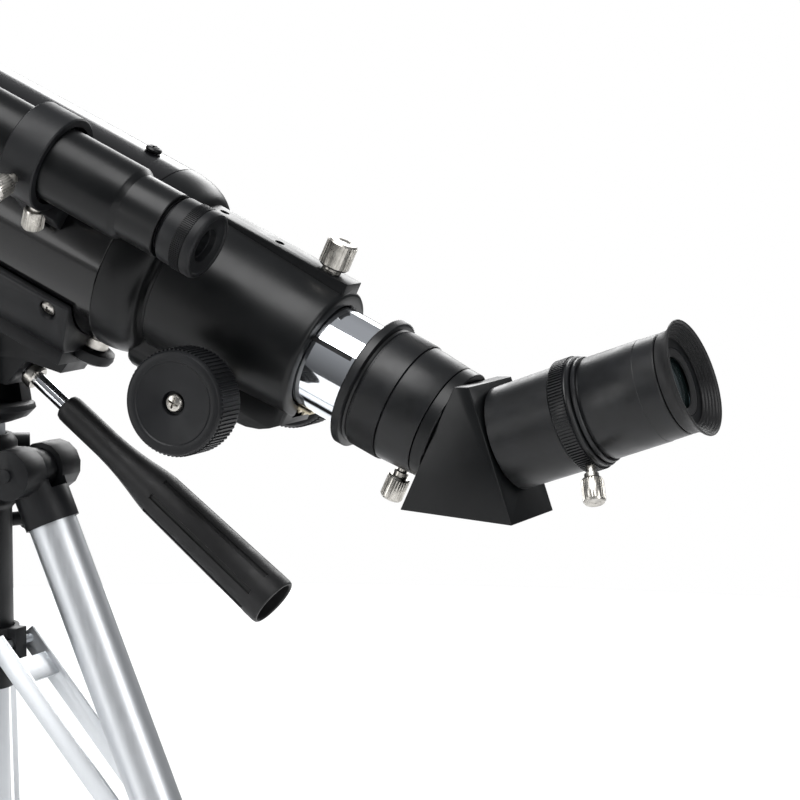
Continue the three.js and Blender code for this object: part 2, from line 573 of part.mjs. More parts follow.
const guideBottom = SHOULDER_Z - 86;
const hubTop = SHOULDER_Z - HUB_DROP;
const columnLockZ = SHOULDER_Z - 22;
const lockDirection = 60;

function shoulder() {
  const bore = bar('z', guideBottom - 5, shoulderTop + 5, COLUMN_R + RUN, ROUND);
  const crown = turned('z', [
    [guideBottom, 0], [guideBottom, GUIDE_R], [SHOULDER_Z - 16, GUIDE_R],
    [SHOULDER_Z - 14, GUIDE_R + 2], [shoulderTop - 3, GUIDE_R + 2.5], [shoulderTop, GUIDE_R + 0.5],
    [shoulderTop, 0],
  ]);
  const arms = [];
  const pins = [];
  for (const turn of [0, 120, 240]) {
    const arm = box(6, HINGE_RADIUS, -5.5, 5.5, SHOULDER_Z - 8, SHOULDER_Z + 8);
    const knuckle = bar('y', -5.5, 5.5, 8).translate(HINGE_RADIUS, 0, SHOULDER_Z);
    const hole = bar('y', -10, 10, 2.6 + RUN).translate(HINGE_RADIUS, 0, SHOULDER_Z);
    arms.push(arm.rotateZ(rad(turn)), knuckle.rotateZ(rad(turn)));
    pins.push(hole.rotateZ(rad(turn)));
  }
  const lockHole = bar('x', 5, 30, 2.5 + RUN).translate(0, 0, columnLockZ)
    .rotateZ(rad(lockDirection));
  add(stand, 'tripod_shoulder', build([crown, ...arms], [bore, ...pins, lockHole]), mattBlack);
  const knob = thumbscrew(2.5, 5, 6.5, 20).translate(COLUMN_R + RUN + 0.3, 0, columnLockZ);
  add(stand, 'column_lock_knob', knob.rotateZ(rad(lockDirection)), mattBlack);

  const hubArms = [0, 120, 240].map((turn) => box(GUIDE_R + 1, HUB_PIN_R + 2.6, -4, 4, hubTop - 12, hubTop)
    .rotateZ(rad(turn)));
  const hubHoles = [0, 120, 240].map((turn) => bar('y', -8, 8, 1.6 + RUN)
    .translate(HUB_PIN_R, 0, hubTop - 6).rotateZ(rad(turn)));
  const hubBore = bar('z', hubTop - 20, hubTop + 5, GUIDE_R + RUN, ROUND);
  add(stand, 'spreader_hub', build([bar('z', hubTop - 12, hubTop, GUIDE_R + 2.2, ROUND), ...hubArms],
    [hubBore, ...hubHoles]), mattBlack);
}
shoulder();

// ---- legs ----
function leg(letter, turn) {
  const place = group(stand, 0, 0, 0, 0, turn);
  // In the leg's own frame the pivot is the origin and the leg runs down -Z.
  const down = group(place, HINGE_RADIUS, 0, SHOULDER_Z, -LEG_SPREAD);
  const socketBottom = -22;
  const earIn = 5.5 + 0.5;
  const ears = [-1, 1].map((side) => bar('y', Math.min(side * earIn, side * HINGE_HALF),
    Math.max(side * earIn, side * HINGE_HALF), 9.8, 14));
  const cup = bar('z', socketBottom, -6, LEG_R + 1.2, 18);
  const slot = box(-16, 16, -earIn, earIn, -9.6, 16);
  const tubeSeat = bar('z', socketBottom - 5, -11.5, LEG_R + GAP, 18);
  const body = toSolid(build([...ears, cup], [slot, tubeSeat]));
  const pin = toSolid(bar('y', -HINGE_HALF - 1.4, HINGE_HALF + 1.4, 2.6));
  add(down, `leg_socket_${letter}`, fromSolid(body.add(pin)), mattBlack);
  const tubeTop = -12;
  const tubeBottom = tubeTop - LEG_LENGTH;
  add(down, `leg_tube_${letter}`, ring('z', tubeBottom, tubeTop, LEG_R - LEG_WALL, LEG_R, 18), anodised);
  const collar = turned('z', [
    [tubeBottom - 14, SLIDER_R + RUN], [tubeBottom - 14, LEG_R + 1], [tubeBottom - 12, LEG_R + 2.6],
    [tubeBottom + 12, LEG_R + 2.6], [tubeBottom + 14, LEG_R + 1.4], [tubeBottom + 14, LEG_R + GAP],
    [tubeBottom - GAP, LEG_R + GAP], [tubeBottom - GAP, SLIDER_R + RUN],
    [tubeBottom - 14, SLIDER_R + RUN],
  ], 18);
  const lugs = [-1, 1].map((side) => box(LEG_R + 1, LEG_R + 8, Math.min(side * 4, side * 7),
    Math.max(side * 4, side * 7), tubeBottom - 11, tubeBottom - 3));
  add(down, `leg_collar_${letter}`, build([collar, ...lugs]), mattBlack);
  add(down, `leg_lever_${letter}`, build([
    bar('y', -3.6, 3.6, 2.6, 12).translate(LEG_R + 5.6, 0, tubeBottom - 7),
    box(LEG_R + 3.8, LEG_R + 7.4, -3.6, 3.6, tubeBottom - 7, tubeBottom + 20),
  ]), mattBlack);
  const sliderBottom = tubeBottom - 14 - SLIDER_OUT;
  const slider = ring('z', sliderBottom - 1, tubeTop - 8, SLIDER_R - 1, SLIDER_R, 16);
  const foot = turned('z', [
    [sliderBottom - 10, 0], [sliderBottom - 10, FOOT_R - 1], [sliderBottom - 7, FOOT_R],
    [sliderBottom + 4, SLIDER_R + 2], [sliderBottom + 14, SLIDER_R + 1.6],
    [sliderBottom + 14, SLIDER_R - 0.5], [sliderBottom - 1, SLIDER_R - 0.5], [sliderBottom - 1, 0],
  ], 16);
  const ground = box(-60, 60, -60, 60, -80, 0).rotateY(rad(LEG_SPREAD))
    .translate(0, 0, sliderBottom - 5.5);
  add(down, `leg_slider_${letter}`, build([slider, foot], [ground]), anodised);

  // Strut from the hub to the leg, beside the leg's tube.
  const pinX = HINGE_RADIUS + STRUT_ON_LEG * Math.sin(rad(LEG_SPREAD));
  const pinZ = SHOULDER_Z - STRUT_ON_LEG * Math.cos(rad(LEG_SPREAD));
  const hubZ = hubTop - 6;
  const angle = Math.atan2(hubZ - pinZ, pinX - HUB_PIN_R);
  const length = Math.hypot(pinX - HUB_PIN_R, hubZ - pinZ);
  const strutHub = group(place, HUB_PIN_R, 0, hubZ, THREE.MathUtils.radToDeg(angle));
  const sides = [-1, 1].map((side) => {
    const y0 = side < 0 ? -LEG_R - 3.4 : LEG_R + 1.4;
    return box(-3, length + 4, y0, y0 + 2, -4, 4);
  });
  const web = box(8, 18, -LEG_R - 3.4, LEG_R + 3.4, 0, 2);
  add(strutHub, `leg_strut_${letter}`, build([...sides, web,
    bar('y', -LEG_R - 3.4, LEG_R + 3.4, 1.6, 12)]), satinBlack);
}
leg('a', 0);
leg('b', 120);
leg('c', 240);

// ---- origin: middle of the footprint, on the ground ----
object.updateMatrixWorld(true);
const bounds = new THREE.Box3().setFromObject(object, true);
object.position.set(-(bounds.min.x + bounds.max.x) / 2, -(bounds.min.y + bounds.max.y) / 2,
  -bounds.min.z);

export default object;
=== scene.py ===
"""A small travel refractor telescope on its folding stand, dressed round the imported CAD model."""
import json
import math

import bmesh
import bpy
from mathutils import Matrix, Vector


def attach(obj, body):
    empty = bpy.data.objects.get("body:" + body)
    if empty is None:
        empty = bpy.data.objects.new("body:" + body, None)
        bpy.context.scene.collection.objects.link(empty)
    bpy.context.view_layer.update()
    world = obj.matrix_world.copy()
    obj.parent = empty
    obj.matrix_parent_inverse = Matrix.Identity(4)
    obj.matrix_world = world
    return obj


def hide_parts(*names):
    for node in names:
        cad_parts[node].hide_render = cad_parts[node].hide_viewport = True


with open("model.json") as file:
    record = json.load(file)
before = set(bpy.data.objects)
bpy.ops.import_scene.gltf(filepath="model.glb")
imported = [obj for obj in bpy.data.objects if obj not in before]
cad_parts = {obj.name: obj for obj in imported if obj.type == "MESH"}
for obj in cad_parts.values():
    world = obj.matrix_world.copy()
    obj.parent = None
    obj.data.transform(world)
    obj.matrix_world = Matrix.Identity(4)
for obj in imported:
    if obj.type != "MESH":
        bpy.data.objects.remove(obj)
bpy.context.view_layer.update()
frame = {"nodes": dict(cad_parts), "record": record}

bl_info = {
    "name": "Travel Refractor Telescope",
    "version": (1, 0, 0),
    "blender": (4, 5, 0),
    "location": "View3D > Sidebar > Telescope",
    "description": "Models and finishes the pieces of a small refractor telescope and its stand",
    "category": "Object",
}

MM = 0.001
TINY = 1e-6                      # radius that stands for a point on the axis
MERGE = 6e-6                     # vertices closer than this are one
ROUND = 96                       # sides of the large turned pieces
SLIM = 48                        # sides of screws and rods
SMOOTH_ANGLE = math.radians(32)
EDGE = 0.35 * MM                 # softened edge of cast and moulded pieces
EDGE_ANGLE = math.radians(38)    # edges sharper than this are softened
FLAT_ANGLE = math.radians(2)     # facets within this of one plane become one face

# ---- places, read from the frame's joints ----
JOINTS = {joint["name"]: joint for joint in frame["record"]["behaviour"]["joints"]}


def along(axis, origin, side=(0, 1, 0)):
    """A place whose Z runs along axis from origin, with its Y near side."""
    z = Vector(axis).normalized()
    if abs(z.dot(Vector(side))) > 0.99:
        side = (0, 0, 1)
    x = Vector(side).cross(z).normalized()
    y = z.cross(x)
    turn = Matrix((x, y, z)).transposed().to_4x4()
    return Matrix.Translation(Vector(origin)) @ turn


def joint_place(name):
    joint = JOINTS[name]
    return along(joint["axis"], joint["pos_m"])


BACK = Vector(JOINTS["focus_slide"]["axis"]).normalized()       # tube axis, towards the eyepiece
SIDE = Vector((0, 1, 0))
OVER = BACK.cross(SIDE).normalized()                            # square to the tube, upwards
if OVER.z < 0:
    OVER = -OVER
BEND = Vector(JOINTS["diagonal_turn"]["pos_m"])                 # where the two axes cross
PRISM_FROM_RIM = 70.4 * MM
RIM = BEND - BACK * PRISM_FROM_RIM                              # centre of the focuser's rear rim
OUT = Vector(JOINTS["eyepiece_slide"]["axis"]).normalized()     # eyepiece axis
TUBE = along(BACK, RIM)
HOUSING_SCREW = 95.3 * MM        # forward of the rim
SADDLE_SCREW = 97.3 * MM         # forward of the rim
STOP_STUD = 87.5 * MM            # forward of the rim
FINDER_CLAMP = 109.5 * MM        # forward of the rim
FINDER_FOCUS = 45 * MM           # forward of the rim, where the finder's eyepiece turns
EYE = along(OUT, BEND)


def reach(node, place):
    """Lowest and highest point along a place's Z, and the widest radius from it, of a CAD node."""
    inverse = place.inverted()
    points = [inverse @ vertex.co for vertex in frame["nodes"][node].data.vertices]
    return (min(p.z for p in points), max(p.z for p in points),
            max(math.hypot(p.x, p.y) for p in points))


# ---- materials ----
def linear(code):
    """A colour given as an sRGB hex code, as linear red, green and blue."""
    channels = [int(code[i:i + 2], 16) / 255 for i in (1, 3, 5)]
    return tuple(c / 12.92 if c <= 0.04045 else ((c + 0.055) / 1.055) ** 2.4
                 for c in channels) + (1.0,)


def node(tree, kind, links=(), **settings):
    """Adds a shader node, sets its properties or sockets, and links (socket, from node, output)."""
    made = tree.nodes.new(kind)
    for key, value in settings.items():
        if hasattr(made, key):
            setattr(made, key, value)
        else:
            made.inputs[key.replace("_", " ")].default_value = value
    for socket, source, output in links:
        tree.links.new(source.outputs[output], made.inputs[socket])
    return made


def start_material(name, colour, metallic, roughness, specular=0.5):
    material = bpy.data.materials.new(name)
    material.use_nodes = True
    tree = material.node_tree
    shader = tree.nodes["Principled BSDF"]
    shader.inputs["Base Color"].default_value = linear(colour)
    shader.inputs["Metallic"].default_value = metallic
    shader.inputs["Roughness"].default_value = roughness
    shader.inputs["Specular IOR Level"].default_value = specular
    where = node(tree, "ShaderNodeTexCoord")
    return material, tree, shader, where


def grain(tree, where, size, detail=3.0, stretch=(1, 1, 1)):
    """Noise whose features are about size metres across."""
    mapping = node(tree, "ShaderNodeMapping", [("Vector", where, "Object")])
    mapping.inputs["Scale"].default_value = stretch
    return node(tree, "ShaderNodeTexNoise", [("Vector", mapping, "Vector")],
                Scale=1 / size, Detail=detail)


def bump(tree, shader, source, strength, height):
    relief = node(tree, "ShaderNodeBump", [("Height", source, 0)], Strength=strength,
                  Distance=height)
    tree.links.new(relief.outputs["Normal"], shader.inputs["Normal"])


def spread(tree, shader, source, socket, low, high):
    """Drives a roughness socket from a noise."""
    ramp = node(tree, "ShaderNodeMapRange", [("Value", source, 0)])
    ramp.inputs["From Min"].default_value = 0.3
    ramp.inputs["From Max"].default_value = 0.7
    ramp.inputs["To Min"].default_value = low
    ramp.inputs["To Max"].default_value = high
    tree.links.new(ramp.outputs["Result"], shader.inputs[socket])


def tint(tree, shader, source, dark, light):
    ramp = node(tree, "ShaderNodeValToRGB", [("Fac", source, 0)])
    ramp.color_ramp.elements[0].position = 0.35
    ramp.color_ramp.elements[0].color = linear(dark)
    ramp.color_ramp.elements[1].position = 0.65
    ramp.color_ramp.elements[1].color = linear(light)
    tree.links.new(ramp.outputs["Color"], shader.inputs["Base Color"])


def gloss_powder_coat():
    # Baked gloss powder coat on aluminium: deep black with a faint orange peel.
    material, tree, shader, where = start_material("gloss_powder_coat", "#050506", 0.0, 0.26, 0.24)
    shader.inputs["Coat Weight"].default_value = 0.25
    shader.inputs["Coat Roughness"].default_value = 0.09
    peel = grain(tree, where, 2.2 * MM, 1.5)
    bump(tree, shader, peel, 0.09, 0.05 * MM)
    spread(tree, shader, grain(tree, where, 26 * MM), "Roughness", 0.17, 0.25)
    return material


def satin_enamel():
    # Sprayed satin enamel on a die casting: soft highlights, finest pitting.
    material, tree, shader, where = start_material("satin_enamel", "#060708", 0.0, 0.38, 0.22)
    tint(tree, shader, grain(tree, where, 18 * MM), "#070809", "#0b0c0d")
    bump(tree, shader, grain(tree, where, 0.7 * MM, 2.0), 0.12, 0.04 * MM)
    spread(tree, shader, grain(tree, where, 12 * MM), "Roughness", 0.3, 0.38)
    return material


def moulded_abs():
    # Injection-moulded ABS with a fine spark-eroded grain.
    material, tree, shader, where = start_material("moulded_abs", "#090a0c", 0.0, 0.44, 0.22)
    tint(tree, shader, grain(tree, where, 15 * MM), "#0a0b0d", "#101113")
    bump(tree, shader, grain(tree, where, 0.45 * MM, 2.5), 0.22, 0.05 * MM)
    spread(tree, shader, grain(tree, where, 9 * MM), "Roughness", 0.4, 0.52)
    return material


def black_anodised():
    # Turned aluminium, anodised black: faint rings of the tool left under a dull sheen.
    material, tree, shader, where = start_material("black_anodised_aluminium", "#0a0b0c",
                                                   0.0, 0.36, 0.3)
    tint(tree, shader, grain(tree, where, 8 * MM), "#08090a", "#0e0f11")
    bump(tree, shader, grain(tree, where, 0.3 * MM, 2.0), 0.14, 0.03 * MM)
    spread(tree, shader, grain(tree, where, 6 * MM), "Roughness", 0.33, 0.44)
    return material


def moulded_rubber():
    # Moulded rubber: matt, slightly dusty, with a soft sheen at grazing angles.
    material, tree, shader, where = start_material("moulded_rubber", "#0c0c0d", 0.0, 0.5, 0.26)
    shader.inputs["Sheen Weight"].default_value = 0.04
    shader.inputs["Sheen Roughness"].default_value = 0.5
    tint(tree, shader, grain(tree, where, 7 * MM, 5.0), "#0a0a0b", "#111112")
    bump(tree, shader, grain(tree, where, 0.5 * MM, 4.0), 0.25, 0.06 * MM)
    spread(tree, shader, grain(tree, where, 4 * MM, 4.0), "Roughness", 0.42, 0.56)
    return material


def bright_chrome():
    # Polished chrome plate: mirror-like, with hairlines from wiping.
    material, tree, shader, where = start_material("bright_chrome_plate", "#dfe2e6", 1.0, 0.05)
    lines = grain(tree, where, 1.2 * MM, 2.0, stretch=(1, 1, 8))
    spread(tree, shader, lines, "Roughness", 0.035, 0.09)
    return material


def nickel_plate():
    # Nickel-plated steel: warm grey metal with a fine turned finish and dulled patches.
    material, tree, shader, where = start_material("nickel_plate", "#b4b1ab", 1.0, 0.3)
    tint(tree, shader, grain(tree, where, 3 * MM), "#a09d97", "#bab7b1")
    bump(tree, shader, grain(tree, where, 0.25 * MM, 2.0), 0.06, 0.01 * MM)
    spread(tree, shader, grain(tree, where, 2.5 * MM), "Roughness", 0.24, 0.38)
    return material


def silver_anodised():
    # Drawn aluminium tube, satin anodised: long faint drawing lines under an even sheen.
    material, tree, shader, where = start_material("silver_anodised_aluminium", "#c6c9cc", 1.0, 0.42)
    lines = grain(tree, where, 0.8 * MM, 2.0, stretch=(1, 1, 0.04))
    bump(tree, shader, lines, 0.08, 0.02 * MM)
    spread(tree, shader, lines, "Roughness", 0.38, 0.46)
    return material


def machined_brass():
    # Milled brass with a thin nickel wash: pale and warm.
    material, tree, shader, where = start_material("machined_brass", "#b5ab94", 1.0, 0.34)
    tint(tree, shader, grain(tree, where, 5 * MM), "#a39a84", "#bfb59f")
    spread(tree, shader, grain(tree, where, 2 * MM), "Roughness", 0.25, 0.42)
    return material


def coated_glass():
    # Polished crown glass with a faint blue-green antireflection coat.
    material, tree, shader, where = start_material("coated_optical_glass", "#4c5e5b", 0.0, 0.02)
    shader.inputs["Transmission Weight"].default_value = 0.9
    shader.inputs["IOR"].default_value = 1.52
    shader.inputs["Coat Weight"].default_value = 0.4
    shader.inputs["Coat Tint"].default_value = linear("#a9c9d8")
    spread(tree, shader, grain(tree, where, 20 * MM), "Roughness", 0.01, 0.035)
    return material


def flat_black():
    # Matt black paint inside tubes, also used as painted shade laid in the drawtube's groove: almost no
    # highlight.
    material, tree, shader, where = start_material("flat_black_paint_and_painted_shade", "#08080a", 0.0, 0.85)
    spread(tree, shader, grain(tree, where, 2 * MM), "Roughness", 0.8, 0.95)
    return material


def studio_paper():
    # Seamless studio paper: pale, matt, finely mottled.
    material, tree, shader, where = start_material("studio_paper", "#f4f4f4", 0.0, 0.9)
    tint(tree, shader, grain(tree, where, 500 * MM), "#f2f2f2", "#f6f6f6")
    return material


MATERIALS = {}


def material_of(maker):
    if maker.__name__ not in MATERIALS:
        MATERIALS[maker.__name__] = maker()
    return MATERIALS[maker.__name__]


# ---- modelling by hand ----
def deselect():
    if bpy.context.object and bpy.context.object.mode != "OBJECT":
        bpy.ops.object.mode_set(mode="OBJECT")
    bpy.ops.object.select_all(action="DESELECT")


def only(piece):
    deselect()
    piece.select_set(True)
    bpy.context.view_layer.objects.active = piece


def pick_faces(piece, wanted):
    """Selects the faces whose centre and normal pass a test, in edit mode."""
    bpy.ops.mesh.select_mode(type="FACE")
    bpy.ops.mesh.select_all(action="DESELECT")
    mesh = bmesh.from_edit_mesh(piece.data)
    found = 0
    for face in mesh.faces:
        if wanted(face.calc_center_median(), face.normal):
            face.select_set(True)
            found += 1
    bmesh.update_edit_mesh(piece.data)
    return found


def pick_corners(piece, low, high, step, sides):
    """Selects every other vertex of a turned band's outside, like the black squares of a board."""
    bpy.ops.mesh.select_mode(type="VERT")
    bpy.ops.mesh.select_all(action="DESELECT")
    mesh = bmesh.from_edit_mesh(piece.data)
    for vertex in mesh.verts:
        if low - TINY < vertex.co.z < high + TINY and vertex.normal.xy.dot(vertex.co.xy) > 0:
            row = round((vertex.co.z - low) / step)
            column = round(math.atan2(vertex.co.y, vertex.co.x) / math.tau * sides)
            vertex.select_set((row + column) % 2 == 0)
    bmesh.update_edit_mesh(piece.data)


def band(low, high, sides, keep=lambda i: True):
    """A test for the outer faces of a turned band, by the number of the face round it."""
    def wanted(centre, normal):
        if not low < centre.z < high or normal.x * centre.x + normal.y * centre.y <= 0:
            return False
        turn = math.atan2(centre.y, centre.x) / math.tau * sides
        return keep(int(math.floor(turn + 1e-3)) % sides)
    return wanted


def turned(profile, sides=ROUND, place=None, bevel=0.0, ribs=(), points=()):
    """Turns a profile of (along, radius) in millimetres about Z, then puts it in its place.

    ribs are bands (low, high, every, depth, edge): every second or third face stands out by depth,
    with sloping edges.
    points are bands (low, high, height, step): every other corner of the mesh rises, as on a knurl.
    """
    deselect()
    rows = [(z * MM, max(r * MM, TINY)) for z, r in profile]
    bpy.ops.mesh.primitive_circle_add(vertices=sides, radius=rows[0][1], location=(0, 0, rows[0][0]))
    piece = bpy.context.object
    bpy.ops.object.transform_apply(location=True, rotation=True, scale=True)
    bpy.ops.object.mode_set(mode="EDIT")
    bpy.ops.mesh.select_mode(type="VERT")
    bpy.ops.mesh.select_all(action="SELECT")
    for (z0, r0), (z1, r1) in zip(rows, rows[1:]):
        bpy.ops.mesh.extrude_edges_move(TRANSFORM_OT_translate={"value": (0, 0, z1 - z0)})
        if r1 != r0:
            bpy.ops.transform.resize(value=(r1 / r0, r1 / r0, 1), center_override=(0, 0, z1))
    bpy.ops.mesh.select_all(action="SELECT")
    bpy.ops.mesh.remove_doubles(threshold=MERGE)
    bpy.ops.mesh.normals_make_consistent(inside=False)
    for low, high, every, depth, edge in ribs:
        if pick_faces(piece, band(low * MM, high * MM, sides, lambda i: i % every == 0)):
            bpy.ops.mesh.inset(thickness=edge * MM, depth=depth * MM, use_individual=True)
    for low, high, height, step in points:
        pick_corners(piece, low * MM, high * MM, step * MM, sides)
        bpy.ops.transform.shrink_fatten(value=height * MM)
    bpy.ops.object.mode_set(mode="OBJECT")
    return finished(piece, place, bevel)


def block(x, y, z, place=None, bevel=EDGE):
    """A bevelled block between three pairs of millimetre limits."""
    deselect()
    size = [high - low for low, high in (x, y, z)]
    middle = [(high + low) / 2 * MM for low, high in (x, y, z)]
    bpy.ops.mesh.primitive_cube_add(size=MM, location=middle, scale=size)
    piece = bpy.context.object
    bpy.ops.object.transform_apply(location=True, rotation=True, scale=True)
    return finished(piece, place, bevel)


def extruded(outline, low, high, place=None, bevel=EDGE):
    """A millimetre outline in X-Y, filled and extruded along Z."""
    deselect()
    bpy.ops.mesh.primitive_circle_add(vertices=len(outline), radius=MM, fill_type="NGON")
    piece = bpy.context.object
    for vertex, (x, y) in zip(piece.data.vertices, outline):
        vertex.co = (x * MM, y * MM, low * MM)
    bpy.ops.object.mode_set(mode="EDIT")
    bpy.ops.mesh.select_all(action="SELECT")
    bpy.ops.mesh.extrude_region_move(TRANSFORM_OT_translate={"value": (0, 0, (high - low) * MM)})
    bpy.ops.mesh.select_all(action="SELECT")
    bpy.ops.mesh.normals_make_consistent(inside=False)
    bpy.ops.object.mode_set(mode="OBJECT")
    return finished(piece, place, bevel)


def finished(piece, place=None, bevel=0.0):
    """Puts a piece in its place, softens its edges and smooths it."""
    only(piece)
    if place is not None:
        piece.matrix_world = place @ piece.matrix_world
        bpy.ops.object.transform_apply(location=True, rotation=True, scale=True)
    if bevel:
        soften = piece.modifiers.new("soften", "BEVEL")
        soften.width = bevel
        soften.segments = 2
        soften.limit_method = "ANGLE"
        soften.angle_limit = EDGE_ANGLE
        soften.use_clamp_overlap = True
        bpy.ops.object.modifier_apply(modifier=soften.name)
    bpy.ops.object.shade_smooth_by_angle(angle=SMOOTH_ANGLE)
    return piece


def combine(piece, other, operation):
    """Cuts the other piece from this one, or joins it on, and removes the other."""
    only(piece)
    change = piece.modifiers.new(operation.lower(), "BOOLEAN")
    change.operation = operation
    change.solver = "EXACT"
    change.object = other
    bpy.ops.object.modifier_apply(modifier=change.name)
    if not piece.data.polygons:
        raise RuntimeError(f"{operation} left nothing of {piece.name}")
    bpy.data.objects.remove(other, do_unlink=True)
    bpy.ops.object.shade_smooth_by_angle(angle=SMOOTH_ANGLE)
    return piece


def refined(source, bevel=EDGE):
    """A copy of a CAD node with its doubles merged, flats dissolved and edges softened."""
    deselect()
    original = frame["nodes"][source]
    piece = original.copy()
    piece.data = original.data.copy()
    piece.parent = None
    piece.matrix_world = original.matrix_world.copy()
    bpy.context.collection.objects.link(piece)
    only(piece)
    piece.hide_render = False
    bpy.ops.object.mode_set(mode="EDIT")
    bpy.ops.mesh.select_all(action="SELECT")
    bpy.ops.mesh.remove_doubles(threshold=MERGE)
    bpy.ops.mesh.dissolve_limited(angle_limit=FLAT_ANGLE)
    bpy.ops.object.mode_set(mode="OBJECT")
    return finished(piece, None, bevel)


def fit(piece, name, body, maker, slot, *nodes):
    """Names a piece, gives it its finish and body, and says which CAD nodes it stands for."""
    piece.name = name
    piece.data.name = name
    piece.data.materials.clear()
    piece.data.materials.append(material_of(maker))
    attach(piece, body)
    if nodes:
        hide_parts(*nodes)
    return piece


def finish_node(name, maker):
    """Gives a CAD node that stays a better material."""
    mesh = frame["nodes"][name].data
    mesh.materials.clear()
    mesh.materials.append(material_of(maker))


def cross_recess(top, size, depth):
    """A cutter for the cross in a screw's head."""
    bar_a = block((-size, size), (-size * 0.2, size * 0.2), (top - depth, top + 1), None, 0)
    bar_b = block((-size * 0.2, size * 0.2), (-size, size), (top - depth, top + 1), None, 0)
    return combine(bar_a, bar_b, "UNION")


def cross_screw(place, low, top, radius, shank):
    """A pan-head screw with a cross recess, cut upright and then put in its place."""
    crown = (top - low) * 0.55
    piece = turned([(low - 3, 0), (low - 3, shank), (low, shank), (low, radius * 0.95),
                    (low + 0.4, radius), (top - crown, radius), (top - crown * 0.4, radius * 0.85),
                    (top - crown * 0.1, radius * 0.5), (top, 0)], SLIM)
    combine(piece, cross_recess(top, radius * 0.62, crown + 0.5), "DIFFERENCE")
    return finished(piece, place)


# ---- settings ----
class TelescopeSizes(bpy.types.PropertyGroup):
    knob_ribs: bpy.props.IntProperty(name="Knob ribs", description="Ribs round a focusing knob",
                                     default=72, min=24, max=120)
    collar_ribs: bpy.props.IntProperty(name="Collar ribs", default=105, min=24, max=140,
                                       description="Ribs round the eyepiece collar")
    knurl_columns: bpy.props.IntProperty(name="Knurl columns", default=100, min=40, max=180,
                                         description="Diamonds round the adapter's band")
    screw_flutes: bpy.props.IntProperty(name="Screw flutes", description="Flutes on a thumbscrew",
                                        default=26, min=8, max=40)
    rack_pitch: bpy.props.FloatProperty(name="Rack pitch", description="Spacing of the rack's teeth",
                                        default=1.9 * MM, subtype="DISTANCE", unit="LENGTH")
    lens_length: bpy.props.FloatProperty(name="Camera lens", default=142.0,
                                         description="Focal length of the camera in millimetres")
    camera_distance: bpy.props.FloatProperty(name="Camera distance", default=1.155, unit="LENGTH",
                                             description="Camera to focuser rim, along the view")


def sizes():
    return bpy.context.scene.telescope_sizes


# ---- thumbscrews ----
def thumbscrew(name, body, node_name, axis, origin, slot="nickel_plate", maker=None):
    """A screw with a fluted head, turned over the CAD screw's own length."""
    place = along(axis, origin)
    low, high, radius = [v / MM for v in reach(node_name, place)]
    head = high - (high - low) * 0.49
    neck = radius * 0.62
    piece = turned([
        (low, 0), (low, radius * 0.42), (head - 2.2, radius * 0.42), (head - 2.0, neck),
        (head, neck), (head, radius * 0.86), (head + 0.7, radius * 0.94), (high - 0.7, radius * 0.94),
        (high, radius * 0.84), (high, radius * 0.5), (high - 0.35, radius * 0.4), (high - 0.35, 0),
    ], sizes().screw_flutes * 2, place, 0, ribs=[(head + 0.75, high - 0.75, 2, radius * 0.035, 0.06)])
    return fit(piece, name, body, maker or nickel_plate, slot, node_name)


class TELESCOPE_OT_thumbscrews(bpy.types.Operator):
    """Turns the knurled thumbscrews of the focuser, fittings and finder"""
    bl_idname = "telescope.thumbscrews"
    bl_label = "Thumbscrews"

    def execute(self, context):
        for joint_name, body, node_name, name in (
                ("focus_lock_turn", "focus_lock", "focus_lock_screw", "lock_screw"),
                ("adapter_screw_turn", "adapter_screw", "adapter_thumbscrew", "adapter_screw_head"),
                ("eyepiece_screw_turn", "eyepiece_screw", "eyepiece_thumbscrew", "eyepiece_screw_head"),
                ("finder_screw_a_turn", "finder_screw_a", "finder_screw_left", "finder_screw_outer"),
                ("finder_screw_b_turn", "finder_screw_b", "finder_screw_right", "finder_screw_lower")):
            joint = JOINTS[joint_name]
            thumbscrew(name, body, node_name, joint["axis"], joint["pos_m"])
        for joint_name, body, node_name, name in (
                ("pan_lock_turn", "pan_lock", "pan_lock_knob", "pan_knob"),
                ("column_lock_turn", "column_lock", "column_lock_knob", "column_knob")):
            joint = JOINTS[joint_name]
            thumbscrew(name, body, node_name, joint["axis"], joint["pos_m"], "black_plastic",
                       moulded_abs)
        return {"FINISHED"}


